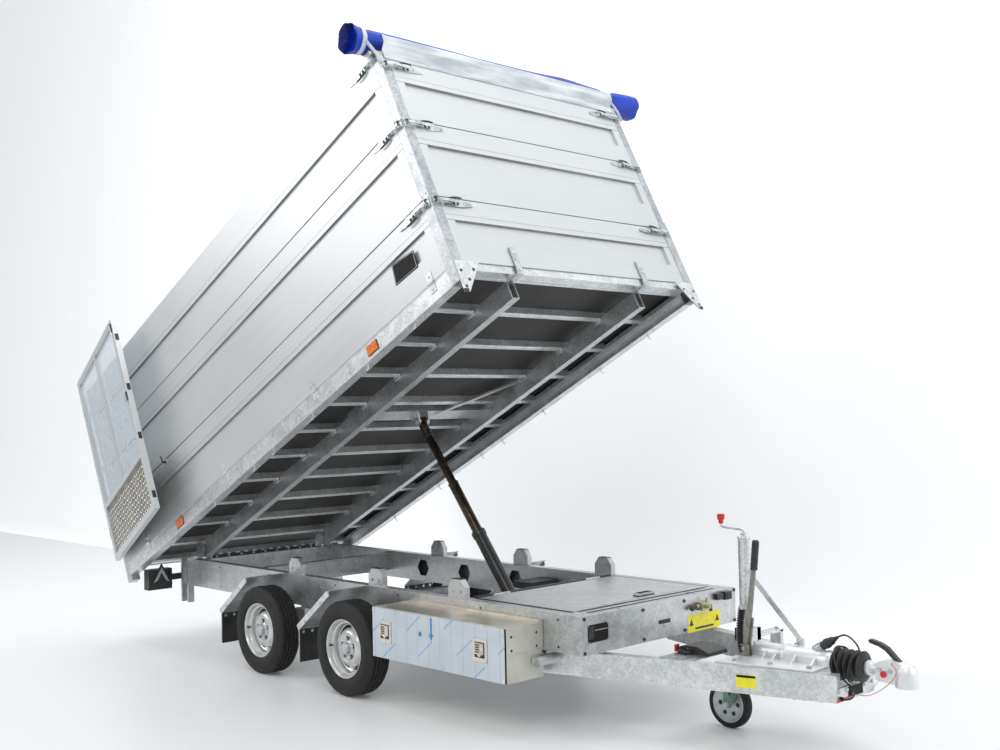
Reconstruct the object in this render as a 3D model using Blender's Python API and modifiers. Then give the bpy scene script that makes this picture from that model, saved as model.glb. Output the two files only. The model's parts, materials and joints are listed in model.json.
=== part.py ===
"""Tandem-axle dump trailer with a high boarded bed, raised on its telescopic ram.

Chassis pieces are placed in a frame whose X runs forward from the midpoint between the
axles, Y to the left and Z up from the ground. Bed pieces are placed in the bed's own
frame: X forward along the floor from the tipping hinge, Z square to the floor.
"""
import math

import bmesh
import bpy
from mathutils import Matrix, Vector

TOUCH = 0.0003          # gap between pieces that touch
RUN = 0.006             # running clearance between moving pieces
PIN_FIT = 0.0005        # side clearance at a pin's bosses
SLIDE_FIT = 0.0008      # radial clearance of a tube that slides in another

# Wheels and axles
AXLE_SPACING = 0.870
TYRE_RADIUS = 0.261
TYRE_WIDTH = 0.155
RIM_RADIUS = 0.1645
WHEEL_Y = 0.787
WHEEL_STEPS = 24
AXLE_TUBE = 0.070
AXLE_LEAD = 0.150       # how far the axle tube lies ahead of its wheels
AXLE_TUBE_Z = 0.345
DRUM_RADIUS = 0.100
ARM_PLATE = 0.030       # thickness of a swing arm
GUARD_OUT = 0.865
GUARD_TOP = (0.151 - TYRE_RADIUS, 2 * TYRE_RADIUS + 0.048)
GUARD_FOOT = (-TYRE_RADIUS - 0.154, TYRE_RADIUS + 0.064)
GUARD_SHEET = 0.004
FLAP_LOW = 0.140

# Chassis
BEAM_OUT = 0.6076       # outer face of each longitudinal beam
BEAM_WIDTH = 0.060
BEAM_TOP = 0.574
BEAM_HEIGHT = 0.184
BEAM_WALL = 0.004
BEAM_REAR = -1.690
BEAM_FRONT = 2.004
HEX_HOLES = (-0.56, -0.13, 0.36)
HEX_RADIUS = 0.062
REST_X = (-0.42, 0.40, 1.10)
REST_HEIGHT = 0.097
REST_LENGTH = 0.13
CROSS_X = -0.95
REAR_MEMBER = 0.060
LIGHT_BAR_HALF = 0.720
LIGHT_BAR_Z = (0.430, 0.470)
LAMP_OUT = 0.865

# Bed
HINGE_X = -1.670
HINGE_Z = 0.644
HINGE_BOSS = 0.020
TIP_DEG = 26.0
BED_OUT = 0.9385        # outer face of the boards, from the centre line
BED_REAR = -0.370
BED_FRONT = 3.583
POST = 0.060
POST_STEP = 0.004       # how far the lower part of a front post stands out
STEP_TOP = 0.510
GUSSET_LOW = -0.100
GUSSET_IN = 0.780
GUSSET_SHEET = 0.0055
BOARD = 0.025
RAIL_LOW = -0.034
RAIL_TOP = 0.062
TUBE_Y = 0.500
TUBE_WIDTH = 0.050
TUBE_LOW = -0.060
TUBE_HEIGHT = 0.100
TUBE_WALL = 0.004
CROSS_DEPTH = 0.0377
CROSS_WIDTH = 0.040
CROSS_COUNT = 12
FLOOR = 0.018
TUBE_FRONT = 3.500
HOOK_TOP = 0.190
HOOK_HALF = 0.020
HOOK_BAR = 0.009
BOARD_TOPS = (0.464, 0.940, 1.430)
FIELD_LOWS = (0.202, 0.637, 1.070)      # lower and upper edges of the boards' sunk fields
FIELD_TOPS = (0.330, 0.793, 1.195)
FIELD_DEPTH = 0.010
FIELD_SLOPE = 0.005
SIDE_LATCH_DROPS = (0.032, 0.025, 0.075)   # from each board's top down to its latch
FRONT_LATCH_DROPS = (0.034, 0.030, 0.140)
POST_TOP = 1.380
ROLL_RADIUS = 0.075
ROLL_HALF = 1.200
ROLL_U = 3.500
SHIELD_SHEET = 0.004

# Rear door leaves
LEAF_HINGE_Y = 0.975
LEAF_HINGE_U = -0.392
LEAF_THICK = 0.036
LEAF_LOW = 0.100
LEAF_TOP = 1.500
LEAF_OPEN_DEG = 262.0
LEAF_PLATE = 0.42       # height of the solid plate at the foot of a leaf
LEAF_BAR = 0.040
LUG_HEIGHTS = (0.30, 0.80, 1.25)
LUG_HALF = 0.020
MESH_CELLS = (3, 7)     # openings of the coarse mesh across and up one column
MESH_WIRE = 0.004       # half width of a mesh wire

# Ram
RAM_X = 0.949
RAM_Z = 0.420
HEAD_U = 1.980
HEAD_W = -0.010
BARREL_RADIUS = 0.0385
BARREL_END = 0.537
STAGE_RADII = (0.0310, 0.0250)
STAGE_ENDS = (0.884, 1.184)
STAGE_STARTS = (0.405, 0.760)
HEAD_START = 1.237      # where the head block begins, just clear of the closed barrel
HEAD_RADIUS = 0.0275
HEAD_GAP = 0.034        # half the gap between the bracket's lugs at the head
EYE_RADIUS = 0.028
EYE_HALF = HEAD_GAP - PIN_FIT

# Front compartment and lid
BOX_REAR = 1.150
BOX_SHEET = 0.004
BOX_FRONT = BEAM_FRONT + TOUCH + 0.0042
POWER_SIZE = (0.360, 0.300, 0.154)
POWER_GAP = 0.110       # from the compartment's rear to the power unit
LID_REAR = 1.200
LID_FRONT = 1.880
LID_SHEET = 0.003

# Toolbox
TOOLBOX_REAR = AXLE_SPACING / 2 + TYRE_RADIUS + 0.024
TOOLBOX_LENGTH = 1.025
TOOLBOX_FRONT = TOOLBOX_REAR + TOOLBOX_LENGTH
TOOLBOX_LOW = 0.262
TOOLBOX_TOP = 0.525
TOOLBOX_OUT = 0.8577
TOOLBOX_WALL = 0.004
PADDLES = (-0.40, 0.34)     # places of the two latches along the door
PADDLE_HALF = 0.030
PADDLE_HEIGHTS = (0.090, 0.190)
DOOR_THICK = 0.0047

# Jockey wheel
JOCKEY_X = 2.475
JOCKEY_Y = 0.040
JOCKEY_TRAIL = 0.105
JOCKEY_RADIUS = 0.115
JOCKEY_WIDTH = 0.048
OUTER_TUBE_RADIUS = 0.0295
OUTER_TUBE_Z = (0.405, 0.925)
INNER_TUBE_RADIUS = 0.0245
FORK_TOP = 0.250

# Drawbar
ARM_TOP = 0.378
ARM_HEIGHT = 0.116
ARM_WIDTH = 0.060
ARM_REAR = (1.620, 0.540)
ARM_FRONT = (3.060, 0.128)
CROSS_TUBE_RADIUS = 0.0235
CROSS_TUBE_X = TOOLBOX_FRONT + CROSS_TUBE_RADIUS + RUN
CROSS_TUBE_Z = 0.345
CROSS_TUBE_HALF = 0.690
HOUSING_X = (JOCKEY_X + OUTER_TUBE_RADIUS + 0.0455, 2.970)
HOUSING_FLAT = JOCKEY_X + JOCKEY_TRAIL + 0.085     # the underside is flat back to here, over the caster
HOUSING_Z = 0.400
HOUSING_RADIUS = 0.045
FLANGE_REAR = JOCKEY_X + OUTER_TUBE_RADIUS + 0.0055
FLANGE_FRONT = 2.960
FLANGE_SHEET = 0.0077
BELLOWS_END = 3.125
BELLOWS_RADIUS = 0.068
BELLOWS_NECK = 0.046
FRONT_PLATE_HALF = 0.160
FRONT_PLATE = 0.006
TIP_X = 3.360

# Cords: the plug's cable round the bellows and the breakaway cable
CABLE_RADIUS = 0.004
WIRE_RADIUS = 0.0015
COIL_RADIUS = 0.0735
PLUG_NOSE = (2.912, 0, 0.466)
PLUG_TAIL = (2.989, 0, 0.514)
PLUG_RADIUS = 0.019
CABLE_STEPS = 70
WIRE_STEPS = 44

BEAM_IN = BEAM_OUT - BEAM_WIDTH
BEAM_LOW = BEAM_TOP - BEAM_HEIGHT
CROSS_TOP = TUBE_LOW + TUBE_HEIGHT + CROSS_DEPTH
FLOOR_LOW = CROSS_TOP + TOUCH
TIP = math.radians(TIP_DEG)

COLLECTION = None


def clear_scene():
    """Remove every object of the scene the script runs in."""
    for obj in list(bpy.data.objects):
        bpy.data.objects.remove(obj, do_unlink=True)


def material(name, colour, roughness, metallic):
    """A plain Principled material."""
    mat = bpy.data.materials.new(name)
    mat.use_nodes = True
    shader = mat.node_tree.nodes["Principled BSDF"]
    shader.inputs["Base Color"].default_value = (*colour, 1.0)
    shader.inputs["Roughness"].default_value = roughness
    shader.inputs["Metallic"].default_value = metallic
    return mat


def mesh_object(name, mesh):
    """Wrap a mesh in an object of the part's collection."""
    obj = bpy.data.objects.new(name, mesh)
    COLLECTION.objects.link(obj)
    return obj


def bake(obj):
    """Turn an object and its modifiers into a plain mesh object."""
    graph = bpy.context.evaluated_depsgraph_get()
    mesh = bpy.data.meshes.new_from_object(obj.evaluated_get(graph))
    name = obj.name
    bpy.data.objects.remove(obj, do_unlink=True)
    work = bmesh.new()
    work.from_mesh(mesh)
    bmesh.ops.remove_doubles(work, verts=work.verts, dist=0.00001)
    bmesh.ops.recalc_face_normals(work, faces=work.faces)
    work.to_mesh(mesh)
    work.free()
    return mesh_object(name, mesh)


def box(x, y, z, name="box"):
    """A box from its (low, high) range on each axis."""
    work = bmesh.new()
    bmesh.ops.create_cube(work, size=1.0)
    size = Vector((x[1] - x[0], y[1] - y[0], z[1] - z[0]))
    middle = Vector((x[0] + x[1], y[0] + y[1], z[0] + z[1])) / 2
    matrix = Matrix.Translation(middle) @ Matrix.Diagonal((*size, 1.0))
    bmesh.ops.transform(work, matrix=matrix, verts=work.verts)
    mesh = bpy.data.meshes.new(name)
    work.to_mesh(mesh)
    work.free()
    return mesh_object(name, mesh)


def along(start, end):
    """The matrix that puts local Z on the line from start to end, at its middle."""
    start, end = Vector(start), Vector(end)
    turn = (end - start).to_track_quat("Z", "Y").to_matrix().to_4x4()
    return Matrix.Translation((start + end) / 2) @ turn


def rod(start, end, radius, sides=16, tip=None):
    """A round bar, or a cone where a tip radius is given."""
    work = bmesh.new()
    length = (Vector(end) - Vector(start)).length
    bmesh.ops.create_cone(work, cap_ends=True, segments=sides, radius1=radius,
                          radius2=radius if tip is None else tip, depth=length)
    bmesh.ops.transform(work, matrix=along(start, end), verts=work.verts)
    mesh = bpy.data.meshes.new("rod")
    work.to_mesh(mesh)
    work.free()
    return mesh_object("rod", mesh)


def bar(start, end, width, height):
    """A rectangular bar that keeps its height upright between two points."""
    start, end = Vector(start), Vector(end)
    run = (end - start).normalized()
    side = Vector((0, 0, 1)).cross(run).normalized()
    up = run.cross(side)
    work = bmesh.new()
    bmesh.ops.create_cube(work, size=1.0)
    frame = Matrix((run, side, up)).transposed().to_4x4()
    size = Matrix.Diagonal(((end - start).length, width, height, 1.0))
    matrix = Matrix.Translation((start + end) / 2) @ frame @ size
    bmesh.ops.transform(work, matrix=matrix, verts=work.verts)
    mesh = bpy.data.meshes.new("bar")
    work.to_mesh(mesh)
    work.free()
    return mesh_object("bar", mesh)


PLANES = {
    "XY": Matrix.Identity(4),
    "XZ": Matrix(((1, 0, 0, 0), (0, 0, -1, 0), (0, 1, 0, 0), (0, 0, 0, 1))),
    "YZ": Matrix(((0, 0, 1, 0), (1, 0, 0, 0), (0, 1, 0, 0), (0, 0, 0, 1))),
}


def plate(rings, plane, low, high, name="plate"):
    """A flat outline, with holes after its first ring, extruded from low to high."""
    curve = bpy.data.curves.new(name, "CURVE")
    curve.dimensions = "2D"
    curve.fill_mode = "BOTH"
    curve.extrude = (high - low) / 2
    for ring in rings:
        spline = curve.splines.new("POLY")
        spline.points.add(len(ring) - 1)
        for point, (a, b) in zip(spline.points, ring):
            point.co = (a, b, 0.0, 1.0)
        spline.use_cyclic_u = True
    obj = bpy.data.objects.new(name, curve)
    COLLECTION.objects.link(obj)
    solid = bake(obj)
    shift = {"XY": (0, 0, 1), "XZ": (0, 1, 0), "YZ": (1, 0, 0)}[plane]
    move = Matrix.Translation(Vector(shift) * (low + high) / 2)
    solid.data.transform(move @ PLANES[plane])
    return solid


def turned(profile, axis, steps, closed=False, name="turned"):
    """A profile of (radius, place along the axis) turned about the X or Y axis."""
    points = [(r, a, 0) if axis == "Y" else (a, r, 0) for r, a in profile]
    edges = [(i, i + 1) for i in range(len(points) - 1)]
    if closed:
        edges.append((len(points) - 1, 0))
    mesh = bpy.data.meshes.new(name)
    mesh.from_pydata(points, edges, [])
    obj = mesh_object(name, mesh)
    screw = obj.modifiers.new("turn", "SCREW")
    screw.axis = axis
    screw.steps = steps
    screw.render_steps = steps
    screw.use_merge_vertices = True
    screw.merge_threshold = 0.00001
    return bake(obj)


def combine(target, tools, operation):
    """Join tools to a solid or cut them from it."""
    for tool in tools:
        change = target.modifiers.new("combine", "BOOLEAN")
        change.operation = operation
        change.solver = "EXACT"
        change.object = tool
    solid = bake(target)
    for tool in tools:
        bpy.data.objects.remove(tool, do_unlink=True)
    return solid


def fuse(target, *tools):
    return combine(target, tools, "UNION")


def cut(target, *tools):
    return combine(target, tools, "DIFFERENCE")


def mirrored(solid):
    """A copy of a solid on the other side of the centre line."""
    mesh = solid.data.copy()
    mesh.transform(Matrix.Diagonal((1, -1, 1, 1)))
    mesh.flip_normals()
    return mesh_object("mirrored", mesh)


def body(name, parent, place=(0, 0, 0), turn=(0, 0, 0)):
    """An empty that stands for one moving body, on its joint's axis."""
    empty = bpy.data.objects.new(name, None)
    COLLECTION.objects.link(empty)
    empty.parent = parent
    empty.location = place
    empty.rotation_euler = turn
    return empty


def node(name, solid, carrier, finish, move=(0, 0, 0)):
    """Name a finished solid, give it its material and hang it on its body."""
    solid.name = name
    solid.data.name = name
    solid.data.materials.clear()
    solid.data.materials.append(finish)
    solid.parent = carrier
    solid.location = move
    return solid


def polygon(centre, radius, sides, start=0.0):
    """The corners of a regular polygon."""
    return [(centre[0] + radius * math.cos(start + math.tau * k / sides),
             centre[1] + radius * math.sin(start + math.tau * k / sides)) for k in range(sides)]


# Chassis

def beam():
    """One longitudinal beam, drawn for the left side: a box with holes in its inner wall."""
    solid = box((BEAM_REAR, BEAM_FRONT), (BEAM_IN, BEAM_OUT), (BEAM_LOW, BEAM_TOP))
    inner = box((BEAM_REAR - 0.01, BEAM_FRONT + 0.01),
                (BEAM_IN + BEAM_WALL, BEAM_OUT - BEAM_WALL),
                (BEAM_LOW + BEAM_WALL, BEAM_TOP - BEAM_WALL))
    middle = (BEAM_LOW + BEAM_TOP) / 2
    holes = [plate([polygon((x, middle), HEX_RADIUS, 6)], "XZ", BEAM_IN - 0.01,
                   BEAM_IN + BEAM_WALL * 2) for x in HEX_HOLES]
    rests = []
    for x in REST_X:
        half = REST_LENGTH / 2
        top = BEAM_TOP + REST_HEIGHT
        ring = [(x - half, BEAM_TOP - 0.002), (x + half, BEAM_TOP - 0.002),
                (x + half, top - 0.04), (x + half - 0.03, top), (x - half + 0.03, top),
                (x - half, top - 0.04)]
        rests.append(plate([ring], "XZ", BEAM_IN + 0.012, BEAM_OUT - 0.012))
    return fuse(cut(solid, inner, *holes), *rests)


def rear_member():
    """The rear cross member with its outer channels and the lugs of the tipping hinge."""
    face = BEAM_REAR - TOUCH
    solid = box((face - REAR_MEMBER, face), (-0.630, 0.630), (0.400, 0.560))
    adds = []
    for side in (-1, 1):
        y = sorted((side * (BEAM_OUT + TOUCH), side * (BEAM_OUT + 0.045)))
        channel = box((face - 0.070, face + 0.030), y, (0.280, 0.585))
        y_cut = sorted((side * (BEAM_OUT + 0.006), side * (BEAM_OUT + 0.060)))
        groove = box((face - 0.055, face + 0.015), y_cut, (0.270, 0.595))
        adds.append(cut(channel, groove))
        for edge in (-1, 1):
            inner = TUBE_WIDTH / 2 + RUN
            y = sorted((side * TUBE_Y + edge * inner, side * TUBE_Y + edge * (inner + 0.010)))
            ring = [(face - 0.050, 0.520), (face - 0.002, 0.520), (HINGE_X + 0.030, HINGE_Z)]
            ring += [(HINGE_X + 0.030 * math.cos(a), HINGE_Z + 0.030 * math.sin(a))
                     for a in (math.pi / 4, math.pi / 2, math.pi * 3 / 4)]
            ring += [(face - 0.050, HINGE_Z)]
            adds.append(plate([ring], "XZ", *y))
    return fuse(solid, *adds)


def cross_member(x):
    """A channel between the two beams."""
    y = BEAM_IN - TOUCH
    solid = box((x - 0.030, x + 0.030), (-y, y), (0.440, 0.560))
    groove = box((x - 0.026, x + 0.040), (-y - 0.01, y + 0.01), (0.444, 0.556))
    return cut(solid, groove)


def ram_cradle():
    """The cross member that carries the ram's foot between two cheeks."""
    y = BEAM_IN - TOUCH
    x = RAM_X + 0.075
    solid = box((x, x + 0.060), (-y, y), (BEAM_LOW + 0.005, 0.540))
    adds = []
    for side in (-1, 1):
        cheek_y = sorted((side * (BARREL_RADIUS + RUN), side * (BARREL_RADIUS + RUN + 0.012)))
        ring = [(RAM_X - 0.035, RAM_Z - 0.028), (x + 0.005, RAM_Z - 0.028),
                (x + 0.005, RAM_Z + 0.070), (RAM_X, RAM_Z + 0.035), (RAM_X - 0.035, RAM_Z + 0.010)]
        adds.append(plate([ring], "XZ", *cheek_y))
    return fuse(solid, *adds)


def axle():
    """A rubber-sprung axle: square tube, two trailing arms and their spindles."""
    half = AXLE_TUBE / 2
    arm_in = BEAM_OUT + 0.012
    solid = box((AXLE_LEAD - half, AXLE_LEAD + half), (-arm_in - 0.005, arm_in + 0.005),
                (AXLE_TUBE_Z - half, AXLE_TUBE_Z + half))
    adds = []
    for side in (-1, 1):
        y = sorted((side * arm_in, side * (arm_in + ARM_PLATE)))
        ring = [(-0.040, TYRE_RADIUS - 0.030), (0.030, TYRE_RADIUS - 0.040),
                (AXLE_LEAD + 0.045, AXLE_TUBE_Z - 0.045), (AXLE_LEAD + 0.045, AXLE_TUBE_Z + 0.040),
                (AXLE_LEAD - 0.045, AXLE_TUBE_Z + 0.040), (-0.040, TYRE_RADIUS + 0.035)]
        adds.append(plate([ring], "XZ", *y))
        outer = arm_in + ARM_PLATE
        adds.append(rod((0, side * (outer - 0.010), TYRE_RADIUS),
                        (0, side * (outer + 0.003), TYRE_RADIUS), 0.035))
        seat = sorted((side * (BEAM_IN + 0.004), side * (BEAM_OUT - 0.004)))
        adds.append(box((AXLE_LEAD - 0.060, AXLE_LEAD + 0.060), seat,
                        (AXLE_TUBE_Z + half - 0.004, BEAM_LOW - TOUCH)))
    return fuse(solid, *adds)


def mudguard():
    """A sloping sheet with a turned edge and a flap behind one left wheel."""
    inner = BEAM_OUT + TOUCH
    outer = GUARD_OUT
    top = GUARD_TOP
    foot = GUARD_FOOT
    ring = [top, (top[0] + GUARD_SHEET, top[1] - 0.003), (foot[0] + 0.006, foot[1]),
            (foot[0] + GUARD_SHEET, FLAP_LOW), (foot[0], FLAP_LOW),
            (foot[0], foot[1] + GUARD_SHEET)]
    sheet = plate([ring], "XZ", inner, outer)
    edge = bar((top[0] - 0.012, outer - 0.003, top[1] - 0.015),
               (foot[0] - 0.012, outer - 0.003, foot[1] + 0.003), 0.006, 0.034)
    return fuse(sheet, edge)


def compartment():
    """The open-topped front compartment, with the wide front plate of the chassis."""
    y = BEAM_IN - TOUCH
    front = box((BEAM_FRONT + TOUCH, BOX_FRONT), (-BEAM_OUT, BEAM_OUT), (BEAM_LOW, BEAM_TOP))
    shell = box((BOX_REAR, BEAM_FRONT + 0.002), (-y, y), (BEAM_LOW + 0.002, BEAM_TOP - 0.001))
    room = box((BOX_REAR + BOX_SHEET, BEAM_FRONT - 0.002), (-y + BOX_SHEET, y - BOX_SHEET),
               (BEAM_LOW + 0.002 + BOX_SHEET, BEAM_TOP - 0.001 - BOX_SHEET))
    mouth = box((LID_REAR + 0.015, LID_FRONT - 0.015), (-y + 0.030, y - 0.030),
                (BEAM_TOP - 0.02, BEAM_TOP + 0.01))
    slot = box((BEAM_FRONT - 0.01, BOX_FRONT + 0.01), (-0.015, 0.015), (0.470, 0.478))
    return cut(fuse(front, shell), room, mouth, slot)


def lid():
    """The compartment lid with its handle, about its rear edge."""
    y = BEAM_IN - 0.021
    sheet = box((0, LID_FRONT - LID_REAR), (-y, y), (-LID_SHEET / 2, LID_SHEET / 2))
    grip = box((0.590, 0.630), (0.020, 0.140), (0, 0.018))
    lip = box((LID_FRONT - LID_REAR - 0.030, LID_FRONT - LID_REAR - 0.022), (-0.30, 0.30),
              (0, 0.004))
    return fuse(sheet, grip, lip)


def toolbox():
    """The toolbox body, open on its outer side."""
    inner = BEAM_OUT + TOUCH
    solid = box((TOOLBOX_REAR, TOOLBOX_FRONT), (-TOOLBOX_OUT, -inner), (TOOLBOX_LOW, TOOLBOX_TOP))
    wall = TOOLBOX_WALL
    room = box((TOOLBOX_REAR + wall, TOOLBOX_FRONT - wall), (-TOOLBOX_OUT - 0.01, -inner - wall),
               (TOOLBOX_LOW + wall, TOOLBOX_TOP - wall))
    return cut(solid, room)


def toolbox_door():
    """The toolbox door about its lower edge, with two recessed latches."""
    length = TOOLBOX_FRONT - TOOLBOX_REAR - 0.004
    height = TOOLBOX_TOP - TOOLBOX_LOW - 0.004
    sheet = box((-length / 2, length / 2), (0, DOOR_THICK), (0.002, 0.002 + height))
    adds = []
    low, high = PADDLE_HEIGHTS
    for x in PADDLES:
        half = PADDLE_HALF + 0.015
        plate_out = box((x - half, x + half), (-0.003, 0.002), (low, high))
        paddle = box((x - PADDLE_HALF, x + PADDLE_HALF), (-0.006, 0.001), (low + 0.015, high - 0.030))
        adds += [plate_out, paddle]
    return fuse(sheet, *adds)


def drawbar():
    """The V drawbar: two arms, cross tube, front plate and the pads under the beams."""
    z = (ARM_TOP - ARM_HEIGHT, ARM_TOP)
    middle = (z[0] + z[1]) / 2
    tube = rod((CROSS_TUBE_X, -CROSS_TUBE_HALF, CROSS_TUBE_Z),
               (CROSS_TUBE_X, CROSS_TUBE_HALF, CROSS_TUBE_Z), CROSS_TUBE_RADIUS)
    adds = []
    for side in (-1, 1):
        adds.append(bar((ARM_REAR[0], side * ARM_REAR[1], middle),
                        (ARM_FRONT[0], side * ARM_FRONT[1], middle), ARM_WIDTH, ARM_HEIGHT))
        pad = sorted((side * (BEAM_IN - 0.03), side * (BEAM_OUT - 0.004)))
        adds.append(box((1.640, 1.760), pad, (ARM_TOP - 0.004, BEAM_LOW - TOUCH)))
        pad_2 = sorted((side * 0.425, side * 0.470))
        adds.append(box((1.900, 1.980), pad_2, (ARM_TOP - 0.004, BEAM_LOW + 0.002 - TOUCH)))
    front = box((ARM_FRONT[0] - 0.010, ARM_FRONT[0] + FRONT_PLATE),
                (-FRONT_PLATE_HALF, FRONT_PLATE_HALF), (z[0], 0.320))
    return fuse(tube, *adds, front)


def overrun_housing():
    """The housing of the overrun device on its flange plate."""
    flange_z = (ARM_TOP + TOUCH, ARM_TOP + TOUCH + FLANGE_SHEET)
    ring = [(FLANGE_REAR, -0.265), (FLANGE_FRONT, -0.165), (FLANGE_FRONT, 0.165),
            (FLANGE_REAR, 0.265)]
    flange = plate([ring], "XY", *flange_z)
    x0, x1 = HOUSING_X
    r = HOUSING_RADIUS
    profile = [(0, x0), (r * 0.8, x0), (r, x0 + 0.02), (r, x0 + 0.165), (r + 0.010, x0 + 0.165),
               (r + 0.010, x0 + 0.185), (r, x0 + 0.185), (r + 0.004, x1), (0, x1)]
    tube = turned(profile, "X", 20)
    tube.data.transform(Matrix.Translation((0, 0, HOUSING_Z)))
    under = box((x0 - 0.01, HOUSING_FLAT), (-2 * r, 2 * r), (HOUSING_Z - 2 * r, flange_z[0]))
    nose, tail = Vector(PLUG_NOSE), Vector(PLUG_TAIL)
    run = (tail - nose).normalized()
    parking = rod(nose - run * 0.022, nose - run * TOUCH, PLUG_RADIUS + 0.003)
    return fuse(flange, cut(tube, under), parking)


def bellows():
    """The rubber bellows between housing and coupling head."""
    x0 = HOUSING_X[1] + TOUCH
    x1 = BELLOWS_END
    count = 4
    pitch = (x1 - x0) / count
    profile = [(0, x0)]
    for k in range(count):
        profile += [(BELLOWS_NECK, x0 + k * pitch + 0.002),
                    (BELLOWS_RADIUS, x0 + (k + 0.35) * pitch),
                    (BELLOWS_RADIUS, x0 + (k + 0.65) * pitch)]
    profile += [(BELLOWS_NECK, x1), (0, x1)]
    profile[1] = (BELLOWS_NECK, x0)
    solid = turned(profile, "X", 20)
    solid.data.transform(Matrix.Translation((0, 0, HOUSING_Z)))
    return solid


def coupling():
    """The coupling head with its socket and hand lever."""
    x0 = BELLOWS_END + TOUCH
    neck = rod((x0, 0, HOUSING_Z), (3.230, 0, HOUSING_Z), 0.028)
    ring = [(3.180, 0.362), (3.225, 0.352), (3.320, 0.352), (3.320, 0.430), (3.270, 0.448),
            (3.200, 0.442), (3.180, 0.425)]
    cheek = plate([ring], "XZ", -0.034, 0.034)
    cup = rod((TIP_X - 0.050, 0, 0.352), (TIP_X - 0.050, 0, 0.432), 0.050, 20, 0.043)
    socket = rod((TIP_X - 0.050, 0, 0.340), (TIP_X - 0.050, 0, 0.395), 0.026)
    lever = bar((3.275, 0, 0.440), (3.215, 0, 0.500), 0.020, 0.014)
    grip = bar((3.222, 0, 0.495), (3.140, 0, 0.520), 0.026, 0.018)
    return cut(fuse(neck, cheek, cup, lever, grip), socket)


def plug():
    """The parked plug: its body and its tapered tail."""
    nose, tail = Vector(PLUG_NOSE), Vector(PLUG_TAIL)
    run = (tail - nose).normalized()
    waist = nose + run * 0.055
    body_part = rod(nose, waist, PLUG_RADIUS)
    collar = rod(nose + run * 0.018, nose + run * 0.032, PLUG_RADIUS + 0.003)
    cone = rod(waist - run * 0.001, tail, PLUG_RADIUS - 0.004, 16, CABLE_RADIUS + 0.003)
    return fuse(body_part, collar, cone)


def cable_knots():
    """The places that the plug's cable passes, from the front plate back to the plug."""
    face = ARM_FRONT[0] + FRONT_PLATE + TOUCH
    knots = [(face, -0.122, 0.276), (face + 0.012, -0.122, 0.276), (face + 0.024, -0.122, 0.276),
             (face + 0.040, -0.112, 0.280), (face + 0.045, -0.092, 0.292),
             (face + 0.033, -0.074, 0.312)]
    for k in range(5):
        share = k / 4
        knots.append(coil_place(140 - 110 * share, face - 0.018 - 0.056 * share,
                                COIL_RADIUS + 0.0095 - 0.006 * share ** 2))
    for k in range(1, 15):
        share = k / 14
        knots.append(coil_place(30 - 390 * share, face - 0.0795 + 0.012 * share, COIL_RADIUS))
    for k in range(1, 13):
        share = k / 12
        knots.append(coil_place(-360 - 340 * share, face - 0.0675 + 0.104 * share ** 1.2,
                                COIL_RADIUS))
    tail = Vector(PLUG_TAIL)
    run = (tail - Vector(PLUG_NOSE)).normalized()
    knots += [(3.092, -0.013, 0.487), (3.070, -0.008, 0.508), (3.043, -0.003, 0.523),
              (3.018, 0, 0.526), tuple(tail + run * 0.010), tuple(tail + run * TOUCH)]
    return knots


def coil_place(degrees, x, radius):
    """A place round the bellows, at an angle from the top towards the right side."""
    angle = math.radians(degrees)
    return (x, -radius * math.sin(angle), HOUSING_Z + radius * math.cos(angle))


def wire_knots():
    """The places that the breakaway cable passes, from the front plate to the coupling."""
    face = ARM_FRONT[0] + FRONT_PLATE + TOUCH
    return [(face, -0.028, 0.284), (3.090, -0.030, 0.283), (3.120, -0.038, 0.284),
            (3.154, -0.046, 0.291), (3.190, -0.051, 0.307), (3.227, -0.053, 0.332),
            (3.262, -0.054, 0.362), (3.284, -0.0545, 0.390), (3.290, -0.053, 0.414),
            (3.281, -0.052, 0.431), (3.267, -0.048, 0.4385), (3.262, -0.041, 0.439),
            (3.262, -0.034 - TOUCH, 0.439)]


def smooth_route(knots, count):
    """Evenly spaced places on one smooth curve through the knots."""
    knots = [Vector(knot) for knot in knots]
    padded = [knots[0] * 2 - knots[1], *knots, knots[-1] * 2 - knots[-2]]
    fine = []
    for a, b, c, d in zip(padded, padded[1:], padded[2:], padded[3:]):
        for k in range(20):
            t = k / 20
            fine.append(0.5 * (2 * b + (c - a) * t + (2 * a - 5 * b + 4 * c - d) * t * t
                               + (3 * b - a - 3 * c + d) * t ** 3))
    fine.append(knots[-1])
    reach = [0.0]
    for a, b in zip(fine, fine[1:]):
        reach.append(reach[-1] + (b - a).length)
    places, at = [], 0
    for k in range(count):
        want = reach[-1] * k / (count - 1)
        while at < len(fine) - 2 and reach[at + 1] < want:
            at += 1
        share = (want - reach[at]) / (reach[at + 1] - reach[at])
        places.append(fine[at].lerp(fine[at + 1], min(share, 1.0)))
    return places


def cord(knots, count, radius):
    """A round cord along a smooth route."""
    curve = bpy.data.curves.new("cord", "CURVE")
    curve.dimensions = "3D"
    curve.bevel_depth = radius
    curve.bevel_resolution = 2
    curve.use_fill_caps = True
    places = smooth_route(knots, count)
    spline = curve.splines.new("POLY")
    spline.points.add(count - 1)
    for point, place in zip(spline.points, places):
        point.co = (*place, 1.0)
    obj = bpy.data.objects.new("cord", curve)
    COLLECTION.objects.link(obj)
    return bake(obj)


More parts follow.
